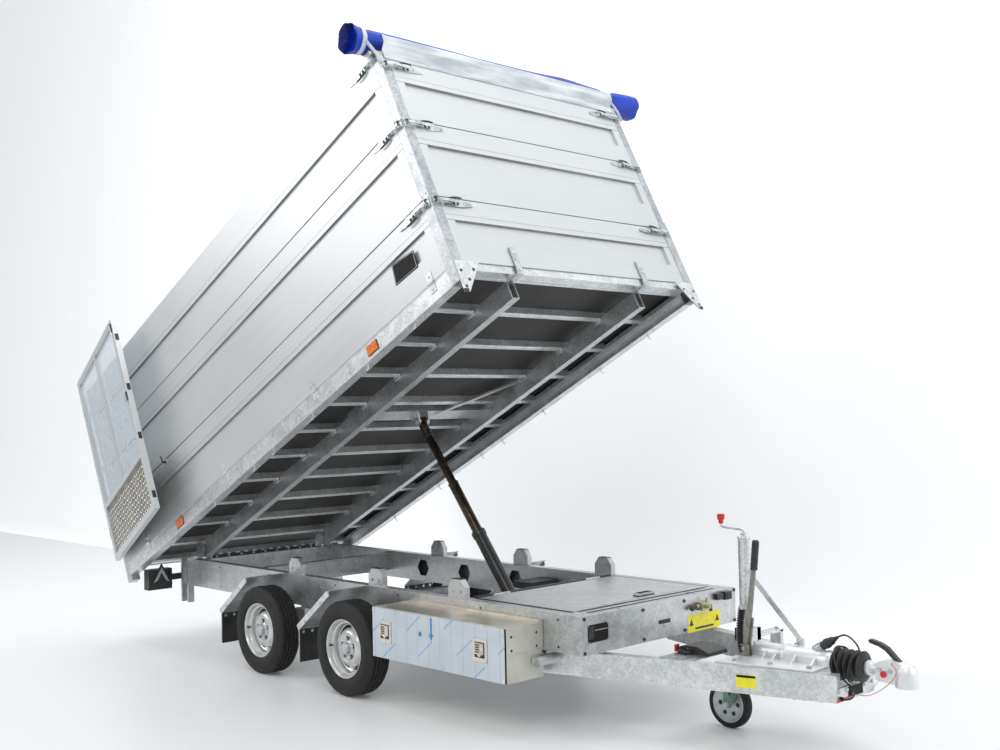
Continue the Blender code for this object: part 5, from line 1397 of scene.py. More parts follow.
class TRAILER_OT_wheels(bpy.types.Operator):
    """Make the tyres with their tread, the pressed rims, bolts and valves"""
    bl_idname = "trailer.wheels"
    bl_label = "Wheels"

    def execute(self, context):
        count = context.scene.trailer_detail.wheel_bolts
        for wheel, side, x in WHEELS:
            centre = CHASSIS @ Matrix.Translation((x, side * WHEEL_Y, TYRE_RADIUS))
            tyre = Shape()
            tyre.lathe(tyre_profile, "Y", steps=TYRE_STEPS, closed=True)
            obj = tyre.piece(f"tyre_skin_{wheel}", f"wheel_{wheel}", ("tyre",), centre, angle=35)
            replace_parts(obj, f"tyre_{wheel}")
            rim = Shape()
            rim.lathe(lambda k: rim_profile(side, k), "Y", steps=RIM_STEPS, paint=rim_paint)
            for k in range(count):
                a = math.tau * (k + 0.25) / count
                spot = Vector((BOLT_CIRCLE * math.cos(a), side * BOLT_FACE,
                               BOLT_CIRCLE * math.sin(a)))
                out = Vector((0, side, 0))
                rim.rod(spot - out * 0.004, spot + out * 0.014, 0.0095, 3, 6)
                # The dark ring round each nut's foot is painted shade.
                rim.rod(spot, spot + out * 0.003, 0.0125, 1)
            valve = Vector((-0.1400, side * 0.034, 0.0))
            rim.rod(valve, valve + Vector((0.006, side * 0.026, 0)), 0.0048, 1, 12)
            obj = rim.piece(f"rim_skin_{wheel}", f"wheel_{wheel}",
                            ("silver", "dark", "hub", "latch"), centre, angle=30)
            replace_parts(obj, f"rim_{wheel}")
        return {"FINISHED"}


GUARD_OUT, GUARD_IN = 0.865, 0.6079
FOOT_BACK, FOOT_HIGH = 0.154, 0.325      # the guard's rear foot behind the tyre, and its height
TOP_BACK, TOP_HIGH = 0.151, 0.048        # its rear bend ahead of that, and over the tyre
FLAP_LOW, FLAP_TOP, FLAP_BOLT_Z = 0.134, 0.322, 0.305
FLAP_BOLTS = (0.03, 0.10, 0.17, 0.23)    # from the guard's inner edge


class TRAILER_OT_guards(bpy.types.Operator):
    """Make the mud flaps and the guards' bolts"""
    bl_idname = "trailer.guards"
    bl_label = "Mud flaps"

    def execute(self, context):
        for wheel, side, x in WHEELS:
            flap = Shape()
            foot = Vector((x - TYRE_RADIUS - FOOT_BACK, 0, FOOT_HIGH))
            top = Vector((x + TOP_BACK - TYRE_RADIUS, 0, 2 * TYRE_RADIUS + TOP_HIGH))
            flap.box((foot.x - 0.003, foot.x + 0.008),
                     both(side, GUARD_IN + 0.004, GUARD_OUT - 0.004), (FLAP_LOW, FLAP_TOP))
            for k in FLAP_BOLTS:
                flap.bolt((foot.x + 0.008, side * (GUARD_IN + k), FLAP_BOLT_Z), (1, 0, 0),
                          0.013, 0.004, 1)
            for share in (0.25, 0.75):
                spot = foot.lerp(top, share) + Vector((-0.012, side * (GUARD_OUT - 0.0005), -0.014))
                flap.bolt(spot, (0, side, 0), 0.012, 0.004, 1)
            run = (top - foot).normalized()
            up = Vector((-run.z, 0, run.x))
            for share in (0.38, 0.62):
                spot = foot.lerp(top, share) + Vector((0, side * (GUARD_IN + 0.028), 0))
                flap.bolt(spot - up * 0.0005, -up, 0.014, 0.005, 1)
            flap.piece(f"mud_flap_{wheel}", "chassis", ("rubber", "latch"), CHASSIS, 0.001)
        return {"FINISHED"}


# Front of the chassis

FACE = BEAM_FRONT + TOUCH + 0.0042
PLATE_BOLTS = ((-0.595, 0.562), (-0.165, 0.551), (0.162, 0.555), (-0.163, 0.406), (0.164, 0.407),
               (-0.595, 0.402), (0.595, 0.562), (0.595, 0.402))
LOCK, KNOB = (0.0, 0.452), (0.508, 0.545)      # the lock's and the round knob's y and z


class TRAILER_OT_front(bpy.types.Operator):
    """Make what sits on the chassis front plate and the deck behind it"""
    bl_idname = "trailer.front"
    bl_label = "Front plate and deck"

    def execute(self, context):
        plate = Shape()
        for y, z in PLATE_BOLTS:
            plate.bolt((FACE, y, z), (1, 0, 0), 0.015, 0.006, 1, False)
        plate.box((FACE, FACE + 0.0016), (-0.571, -0.427), (0.446, 0.530), 2)
        plate.box((FACE, FACE + 0.0022), (-0.566, -0.528), (0.462, 0.522), 1)
        plate.box((FACE, FACE + 0.0022), (-0.520, -0.434), (0.500, 0.503), 3)
        for y, z in ((-0.566, 0.451), (-0.432, 0.451), (-0.566, 0.525), (-0.432, 0.525)):
            plate.rod((FACE, y, z), (FACE + 0.003, y, z), 0.0028, 3, 10)
        plate.box((FACE, FACE + 0.0012), (0.190, 0.466), (0.386, 0.476), 4)
        for y in (0.200, 0.420):
            ring = [(y, 0.420), (y + 0.036, 0.420), (y + 0.018, 0.456)]
            plate.prism(ring, "X", FACE + 0.001, FACE + 0.0020, 1)
        plate.box((FACE + 0.001, FACE + 0.0020), (0.250, 0.405), (0.398, 0.408), 1)
        plate.rod((FACE, *LOCK), (FACE + 0.006, *LOCK), 0.009, 3)
        plate.rod((FACE + 0.004, *LOCK), (FACE + 0.0065, *LOCK), 0.0035, 1)
        plate.box((FACE, FACE + 0.003), (-0.045, 0.045), (0.464, 0.484), 1)
        # The lock bar's slot is a thin dark box: painted shade.
        plate.box((FACE + 0.002, FACE + 0.0045), (-0.041, 0.041), (0.4715, 0.4765), 5)
        plate.box((FACE, FACE + 0.024), (0.417, 0.470), (0.530, 0.562), 1)
        plate.box((FACE, FACE + 0.030), (0.480, 0.536), (0.524, 0.566), 1)
        plate.rod((FACE + 0.029, *KNOB), (FACE + 0.033, *KNOB), 0.015, 5)
        plate.piece("front_plate_parts", "chassis",
                    ("latch", "plastic", "bare", "silver", "yellow", "dark"), CHASSIS, 0.0006)
        valve = Shape()
        middle, port = FACE + 0.020, (0.296, 0.516)
        valve.box((FACE, FACE + 0.040), (0.262, 0.330), (0.496, 0.536))
        valve.rod((FACE, *port), (FACE + 0.058, *port), 0.013)
        valve.rod((middle, 0.236, 0.520), (middle, 0.262, 0.520), 0.010)
        valve.rod((middle, 0.330, 0.524), (middle, 0.356, 0.524), 0.012, 0, 6)
        valve.rod((FACE + 0.056, *port), (FACE + 0.066, *port), 0.009, 1, 6)
        valve.rod((middle, 0.232, 0.520), (middle, 0.205, 0.514), 0.011, 2)
        valve.ball((middle, 0.203, 0.513), 0.014, 2)
        valve.rod((FACE + 0.030, 0.310, 0.536), (FACE + 0.030, 0.316, 0.556), 0.006)
        valve.rod((middle, 0.352, 0.520), (FACE + 0.022, 0.358, 0.482), 0.009, 2)
        valve.piece("valve_block", "chassis", ("brass", "latch", "plastic"), CHASSIS, 0.0012)
        cover = Shape()
        cover.prism([(2.245, -0.344), (2.425, -0.292), (2.425, -0.040), (2.245, -0.040)], "Z",
                    0.3785, 0.3815, 2)
        cover.prism([(2.250, 0.3810), (2.250, 0.4080), (2.275, 0.4160), (2.350, 0.4180),
                     (2.420, 0.3960), (2.425, 0.3810)], "Y", -0.190, -0.045)
        cover.box((2.300, 2.330), (-0.200, -0.186), (0.3810, 0.4000))
        cover.rod((2.262, -0.215, 0.390), (2.330, -0.215, 0.390), 0.008)
        cover.box((2.226, 2.236), (-0.200, -0.172), (0.3815, 0.4150), 1)
        cover.rod((2.235, -0.186, 0.400), (2.252, -0.186, 0.400), 0.006)
        cover.rod((2.300, -0.1905, 0.404), (2.300, -0.1925, 0.404), 0.004, 2, 12)
        cover.piece("black_cover", "chassis", ("plastic", "red", "latch"), CHASSIS, 0.0015)
        deck = Shape()
        deck.box((1.158, 1.190), (-0.530, 0.530), (BEAM_TOP, BEAM_TOP + 0.006), 0)
        for x in (1.884, 1.938):
            deck.box((x, x + 0.007), (-0.500, 0.500), (BEAM_TOP, BEAM_TOP + 0.0018), 0)
        for side in SIDES:
            edge = both(side, 0.530, 0.545)
            deck.box((1.200, 1.880), edge, (BEAM_TOP, BEAM_TOP + 0.0018), 0)
            for x in (1.93, 1.97):
                deck.bolt((x, side * 0.30, BEAM_TOP - 0.001), (0, 0, 1), 0.014, 0.004, 1)
            z = BEAM_TOP + 0.005
            deck.rod((1.196, side * 0.300, z), (1.196, side * 0.420, z), 0.006, 1)
        deck.piece("deck_seals", "chassis", ("rubber", "latch"), CHASSIS, 0.0006)
        grip = Shape()
        z = BEAM_TOP + 0.0008
        grip.box((1.788, 1.832), (0.016, 0.144), (z, z + 0.006), 0)
        grip.box((1.793, 1.827), (0.024, 0.136), (z + 0.005, z + 0.0180), 0)
        for y in (0.020, 0.140):
            grip.rod((1.810, y, z + 0.005), (1.810, y, z + 0.008), 0.004, 1)
        for x in (1.235, 1.845):
            for y in (-0.50, 0.50):
                grip.rod((x, y, z), (x, y, z + 0.0025), 0.006, 1)
        grip.piece("lid_handle", "lid", ("grip", "latch"), CHASSIS, 0.0012)
        return {"FINISHED"}


BOX_REAR, BOX_FRONT, BOX_LOW, BOX_TOP, BOX_OUT = 0.720, 1.745, 0.262, 0.525, 0.8577
DOOR_FACE = -BOX_OUT - 0.0047 - TOUCH
BOX_BACK, BOX_IN = -0.6105, -0.613
PRINT = (-0.0009, -0.0001)              # where a printed mark's two faces lie on the film
PADDLES = (-0.40, 0.34)
ARROW_X, DOT_X = 1.207, 1.119           # the film's printed arrow and dot


class TRAILER_OT_toolbox(bpy.types.Operator):
    """Make the toolbox's top sheet, rivets and brackets, and the door's latches"""
    bl_idname = "trailer.toolbox"
    bl_label = "Toolbox"

    def execute(self, context):
        box = Shape()
        face = BOX_FRONT - 0.001
        box.box((BOX_REAR + 0.004, BOX_FRONT - 0.004), (-BOX_OUT + 0.004, BOX_IN),
                (BOX_TOP - 0.001, BOX_TOP + 0.0012), 1)
        for y in (-0.820, -0.652):
            for z in (0.480, 0.415):
                box.rod((face, y, z), (BOX_FRONT + 0.0025, y, z), 0.0065, 2, 14)
        box.box((face, BOX_FRONT + 0.0012), (-BOX_OUT + 0.002, BOX_IN), (0.3955, 0.3975), 0)
        box.box((face, BOX_FRONT + 0.0010), (-BOX_OUT + 0.002, BOX_IN),
                (0.4000, BOX_TOP - 0.001), 0)
        box.box((BOX_FRONT - 0.020, BOX_FRONT + 0.004), (-0.640, BOX_BACK),
                (0.405, BOX_TOP + 0.010), 0)
        box.box((BOX_REAR + 0.02, BOX_FRONT - 0.02), (-0.622, BOX_BACK),
                (BOX_TOP, BOX_TOP + 0.010), 1)
        box.box((BOX_FRONT - 0.0035, BOX_FRONT + 0.0016), (-BOX_OUT - 0.004, -BOX_OUT + 0.004),
                (BOX_LOW + 0.002, BOX_TOP - 0.003), 3)
        box.piece("toolbox_parts", "chassis", ("warm", "brown", "dark", "bare"), CHASSIS, 0.0006)
        middle = (BOX_REAR + BOX_FRONT) / 2
        place = CHASSIS @ Matrix.Translation((middle, DOOR_FACE, BOX_LOW))
        door = Shape()
        for x in PADDLES:
            door.box((x - 0.050, x + 0.050), (-0.0042, -0.0005), (0.084, 0.196), 0)
            # The dark layer round each paddle is painted shade under its edge.
            door.box((x - 0.034, x + 0.034), (-0.0066, -0.004), (0.106, 0.180), 3)
            door.box((x - 0.031, x + 0.031), (-0.0090, -0.006), (0.122, 0.176), 1)
            for k in range(4):
                door.box((x - 0.027, x + 0.002), (-0.0096, -0.0088),
                         (0.130 + 0.011 * k, 0.136 + 0.011 * k), 4)
            door.lathe([(0.0, -0.0098), (0.009, -0.0098), (0.011, -0.0088), (0.011, -0.006)], "Y",
                       (x + 0.016, 0, 0.152), 2, 24)
            ring = [(x - 0.018, 0.122), (x, 0.108), (x + 0.018, 0.122)]
            door.prism(ring, "Y", -0.0088, -0.006, 0)
            for dx in (-0.043, 0.043):
                for z in (0.092, 0.188):
                    door.rod((x + dx, -0.004, z), (x + dx, -0.0056, z), 0.0032, 2, 10)
        arrow = ARROW_X - middle
        door.box((arrow - 0.006, arrow + 0.006), PRINT, (0.170, 0.254), 5)
        door.prism([(arrow - 0.018, 0.172), (arrow, 0.138), (arrow + 0.018, 0.172)], "Y",
                   *PRINT, 5)
        spot = DOT_X - middle
        door.rod((spot, PRINT[0], 0.164), (spot, PRINT[1], 0.164), 0.013, 5)
        half = (BOX_FRONT - BOX_REAR) / 2 - 0.002
        for x in (-half, half - 0.020):
            for z in (0.003, 0.240):
                door.box((x + 0.001, x + 0.019), (-0.0012, 0.0), (z, z + 0.020), 0)
        door.piece("toolbox_door_parts", "toolbox_door",
                   ("cream", "brown", "silver", "dark", "bare", "print"), place, 0.0006)
        return {"FINISHED"}


# Drawbar

HOUSING_Z, JOCKEY = 0.400, (2.475, 0.040)
ARM_REAR, ARM_FRONT = Vector((1.620, 0.540)), Vector((3.060, 0.128))
PLUG_NOSE, PLUG_TAIL = Vector((2.912, 0, 0.466)), Vector((2.989, 0, 0.514))
FLANGE_LOW, FLANGE_TOP, PLATE_FACE = 0.3783, 0.3860, 3.0662
HOUSING_STEPS, CHAIN_LINKS, LINK_LAP = 40, 8, 1.18
BRAKE_Y, GRIP_STEPS, SLEEVE_STEPS, SLEEVE_PITCH = -0.075, 46, 90, 5      # a rib's steps
CABLE_HOLE, WIRE_HOLE = (-0.122, 0.276), (-0.028, 0.284)      # in the front plate: y, z


def grip_radius(share):
    """The handbrake grip's radius along its length: ribbed past its foot, its end rounded."""
    groove = 0.0022 if round(share * GRIP_STEPS) % 4 == 0 and share > 0.08 else 0.0
    return 0.0175 - groove - 0.006 * max(0.0, share - 0.96) / 0.04


def sleeve_radius(share):
    """The ribbed sleeve's radius along its length."""
    return 0.0158 + 0.0042 * math.sin(share * SLEEVE_STEPS * math.tau / SLEEVE_PITCH)


class TRAILER_OT_drawbar(bpy.types.Operator):
    """Make the overrun device, coupling, handbrake and the drawbar's bolts and label"""
    bl_idname = "trailer.drawbar"
    bl_label = "Drawbar"

    def execute(self, context):
        arms = Shape()
        run = (ARM_FRONT - ARM_REAR).normalized()
        for side in SIDES:
            for share in (0.30, 0.33, 0.87, 0.90, 0.95):
                spot = ARM_REAR.lerp(ARM_FRONT, share)
                arms.bolt((spot.x, side * spot.y, 0.2620), (0, 0, -1), 0.016, 0.008, 0)
            cap = side * 0.690
            arms.lathe([(0.0, cap), (0.018, cap + side * 0.001), (0.0265, cap + side * 0.001),
                        (0.0275, cap - side * 0.003), (0.0265, cap - side * 0.008),
                        (0.0235, cap - side * 0.008)], "Y", (1.7745, 0, 0.345), 0, 32)
            arms.box((1.630, 1.770), both(side, 0.520, 0.6036), (0.3745, 0.3865))
            for x in (1.655, 1.745):
                arms.bolt((x, side * 0.6045, 0.400), (0, side, 0), 0.015, 0.006, 0)
        spot = Vector((2.672, 0.2390))
        base = ARM_REAR + run * (spot - ARM_REAR).dot(run)
        face = Matrix.Translation((base.x, -base.y, 0.318)) @ Matrix.Rotation(
            math.atan2(-run.y, run.x), 4, "Z")
        arms.box((-0.046, 0.046), (-0.0308, -0.0300), (-0.029, 0.029), 1, face)
        arms.box((-0.044, 0.044), (-0.0312, -0.0306), (0.016, 0.027), 2, face)
        arms.piece("arm_parts", "chassis", ("latch", "yellow", "bare"), CHASSIS, 0.0006)
        self.housing()
        self.coupling()
        self.brake()
        return {"FINISHED"}

    def housing(self):
        """The overrun housing on its flange plate, with the plug's parking socket."""
        house = Shape()
        ring = [(2.510, -0.265), (2.960, -0.165), (2.960, 0.165), (2.510, 0.265)]
        house.prism(ring, "Z", FLANGE_LOW, FLANGE_TOP)
        x0, r = 2.550, 0.045
        rows = []
        profile = ((x0, 0.80), (x0 + 0.004, 0.92), (x0 + 0.020, 1.0), (x0 + 0.160, 1.0),
                   (x0 + 0.164, 1.14), (x0 + 0.168, 1.20), (x0 + 0.186, 1.20), (x0 + 0.190, 1.08),
                   (x0 + 0.196, 1.03), (2.900, 1.04), (2.930, 1.06), (2.940, 1.12), (2.966, 1.12),
                   (2.970, 1.08))
        for x, share in profile:
            row = []
            for k in range(HOUSING_STEPS):
                a = math.tau * k / HOUSING_STEPS
                y, z = r * share * math.cos(a), HOUSING_Z + r * share * math.sin(a)
                row.append((x, y, max(z, 0.3861) if x < 2.662 else z))
            rows.append(row)
        house.grid(rows, 0, True)
        for row, flip in ((rows[0], 1), (rows[-1], 0)):
            verts = [house.work.verts.new(p) for p in row]
            face = house.work.faces.new(verts[::-1] if flip else verts)
            face.smooth = True
        bmesh.ops.remove_doubles(house.work, verts=house.work.verts, dist=1e-6)
        bmesh.ops.recalc_face_normals(house.work, faces=house.work.faces)
        for x in (2.640, 2.700, 2.800, 2.900):
            for side in SIDES:
                y = 0.040 if x < 2.66 else 0.050
                ring = [(side * a, b) for a, b in ((y, 0.385), (y + 0.045, 0.385), (y, 0.420))]
                house.prism(ring, "X", x - 0.004, x + 0.004)
        for x in (2.575, 2.740, 2.915):
            for side in SIDES:
                y = side * (0.205 - (x - 2.550) * 0.22)
                house.bolt((x, y, FLANGE_TOP), (0, 0, 1), 0.019, 0.010, 1)
        axis = (PLUG_TAIL - PLUG_NOSE).normalized()
        house.rod(PLUG_NOSE - axis * 0.034, PLUG_NOSE - axis * TOUCH, 0.0225, 1, 32)
        house.box((2.862, 2.906), (-0.012, 0.012), (0.440, 0.462), 1)
        house.bolt((2.770, 0.0, 0.4535), (0, 0, 1), 0.013, 0.008, 1)
        obj = house.piece("overrun_device", "chassis", ("cast", "latch"), CHASSIS, 0.0015, 30)
        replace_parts(obj, "overrun_housing")
        shell = Shape()
        x0, x1 = 2.9703, 3.125
        profile, count = [(0.046, x0)], 5
        pitch = (x1 - x0) / count
        for k in range(count):
            for share, r in ((0.06, 0.047), (0.20, 0.056), (0.34, 0.065), (0.44, 0.068),
                             (0.54, 0.068), (0.66, 0.064), (0.82, 0.053), (0.95, 0.047)):
                profile.append((r, x0 + (k + share) * pitch))
        profile += [(0.046, x1 - 0.0005), (0.0, x1 - 0.0005)]
        shell.lathe([(0.0, x0), *profile], "X", (0, 0, HOUSING_Z), steps=56)
        obj = shell.piece("bellows_ribs", "chassis", ("rubber",), CHASSIS)
        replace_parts(obj, "bellows")
        plate = Shape()
        face = PLATE_FACE
        plate.box((face, face + 0.0020), (-0.060, 0.060), (0.272, 0.318), 0)
        plate.box((face, face + 0.0038), (-0.152, -0.040), (0.263, 0.276), 1)
        for y in (-0.140, 0.140, -0.075, 0.075):
            plate.bolt((face, y, 0.308), (1, 0, 0), 0.014, 0.007, 2)
        plate.rod((face, *CABLE_HOLE), (face + 0.010, *CABLE_HOLE), 0.009, 0)
        plate.rod((face, *WIRE_HOLE), (face + 0.006, *WIRE_HOLE), 0.006, 2)
        plate.piece("front_plate_fittings", "chassis", ("bare", "red", "latch"), CHASSIS, 0.0006)

    def coupling(self):
        """The coupling head: neck, cast cheeks, ball cup, handle and button."""
        head = Shape()
        x0 = 3.1253
        head.lathe([(0.0, x0), (0.030, x0), (0.0325, x0 + 0.004), (0.0325, x0 + 0.016),
                    (0.028, x0 + 0.022), (0.028, 3.175), (0.031, 3.182), (0.031, 3.230),
                    (0.0, 3.230)], "X", (0, 0, HOUSING_Z), 0, 40)
        cheek = [(3.180, 0.362), (3.200, 0.356), (3.240, 0.352), (3.300, 0.350), (3.320, 0.352),
                 (3.322, 0.400), (3.312, 0.432), (3.290, 0.444), (3.262, 0.449), (3.225, 0.446),
                 (3.198, 0.440), (3.182, 0.425)]
        head.prism(cheek, "Y", -0.033, 0.033)
        head.lathe([(0.0262, 0.340), (0.0490, 0.340), (0.0498, 0.346), (0.0495, 0.372),
                    (0.0480, 0.398), (0.0430, 0.420), (0.0330, 0.434), (0.0180, 0.440),
                    (0.0, 0.441)], "Z", (3.310, 0, 0), 0, 48)
        head.lathe([(0.0262, 0.340), (0.0262, 0.392), (0.0, 0.396)], "Z", (3.310, 0, 0), 2, 48)
        for x in (3.200, 3.250):
            head.rod((x, -0.038, 0.405), (x, 0.038, 0.405), 0.007, 3, 20)
            head.rod((x, -0.041, 0.405), (x, 0.041, 0.405), 0.011, 3, 6)
        for y in (-0.034, 0.034):
            head.rod((3.262, y * 0.9, 0.439), (3.262, y * 1.02, 0.439), 0.005, 3)
        head.box((3.330, 3.344), (-0.006, 0.006), (0.424, 0.434), 1)
        lever = [(3.282, 0.430), (3.292, 0.440), (3.262, 0.468), (3.232, 0.498), (3.200, 0.514),
                 (3.160, 0.5245), (3.146, 0.526), (3.141, 0.518), (3.146, 0.510), (3.190, 0.499),
                 (3.220, 0.484), (3.250, 0.456)]
        head.prism(lever, "Y", -0.013, 0.013, 4)
        for k in range(6):
            x, z = 3.156 + 0.010 * k, 0.517 - 0.0022 * k
            head.rod((x, -0.0142, z), (x, 0.0142, z), 0.0026, 4, 8)
        head.rod((3.222, -0.033, 0.389), (3.222, -0.0405, 0.389), 0.0145, 1, 32)
        head.rod((3.222, -0.033, 0.389), (3.222, -0.0365, 0.389), 0.0175, 0, 32)
        obj = head.piece("coupling", "chassis", ("cast", "red", "dark", "latch", "plastic"),
                         CHASSIS, 0.0025, 35, segments=3)
        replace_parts(obj, "coupling_head")
        chain = Shape()
        start, end = Vector((3.200, -0.0345, 0.362)), Vector((3.158, -0.0450, 0.304))
        for k in range(CHAIN_LINKS):
            a = start.lerp(end, k / CHAIN_LINKS)
            b = start.lerp(end, (k + LINK_LAP) / CHAIN_LINKS)
            side = Vector((0, 1, 0)) if k % 2 else (b - a).cross(Vector((0, 1, 0))).normalized()
            ring = [a.lerp(b, 0.5 - 0.5 * math.cos(t)) + side * 0.0028 * math.sin(t)
                    for t in (math.tau * n / 10 for n in range(11))]
            chain.tube(ring, 0.0009, 0, 6)
        chain.piece("small_chain", "chassis", ("latch",), CHASSIS)

    def brake(self):
        """The handbrake: foot, olive lever, ribbed grip and the ribbed sleeve over its spring."""
        y = BRAKE_Y
        brake = Shape()
        for low, high, top in ((-0.012, -0.008, 0.440), (0.008, 0.012, 0.440),
                               (-0.012, 0.012, 0.3900)):
            brake.box((2.512, 2.575), (y + low, y + high), (0.3864, top), 0)
        brake.prism([(2.527, 0.398), (2.553, 0.398), (2.590, 0.600), (2.6165, 0.800),
                     (2.5955, 0.800), (2.565, 0.610)], "Y", y - 0.0055, y + 0.0055)
        brake.prism([(2.548, 0.390), (2.566, 0.390), (2.592, 0.560), (2.580, 0.566)], "Y",
                    y + 0.006, y + 0.0115)
        brake.rod((2.543, y - 0.015, 0.418), (2.543, y + 0.015, 0.418), 0.008, 1)
        grip = [Vector((2.6055, y, 0.788)).lerp(Vector((2.6205, y, 0.926)), k / GRIP_STEPS)
                for k in range(GRIP_STEPS + 1)]
        brake.tube(grip, grip_radius, 2, 20)
        knots = [Vector(p) for p in ((2.5335, y, 0.602), (2.5260, y, 0.560), (2.5200, y, 0.510),
                                     (2.5190, y, 0.460), (2.5240, y, 0.420), (2.5310, y, 0.3985))]
        brake.tube(smooth_route(knots, SLEEVE_STEPS + 1), sleeve_radius, 2, 20)
        brake.rod(knots[0] - Vector((0.001, 0, 0.004)), knots[0] + Vector((0.003, 0, 0.012)),
                  0.0165, 1)
        obj = brake.piece("handbrake_lever", "chassis", ("olive", "latch", "plastic"), CHASSIS,
                          0.0006)
        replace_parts(obj, "handbrake")


MARKS, MARK_START, MARK_PITCH, MARK_ANGLE = 11, 0.560, 0.020, -58      # the tube's printed scale
MARK_OUT, MARK_REACH, LONG_MARK_REACH = 0.0292, 0.14, 0.30
FORK_TURN_Z, AXLE_BACK, AXLE_DOWN = 0.250, 0.105, 0.135
CASTER_HALF = 0.024                     # half the width of the jockey wheel
# Half a section of its tyre and its disc: radius, and depth under the wheel's side
CASTER_TREAD = ((0.0880, 0.003), (0.0960, 0.0005), (0.1080, 0.002), (0.1135, 0.007),
                (0.1150, 0.012))
CASTER_DISC = ((0.0, -0.0050), (0.0160, -0.0050), (0.0180, -0.001), (0.0185, 0.012),
               (0.0300, 0.0140), (0.0700, 0.0120), (0.0790, 0.006), (0.0860, 0.002),
               (0.0885, 0.003))


def caster_section(half_section):
    """A full section across the jockey wheel from its half."""
    half = [(r, depth - CASTER_HALF) for r, depth in half_section]
    return half + [(r, -y) for r, y in reversed(half)]


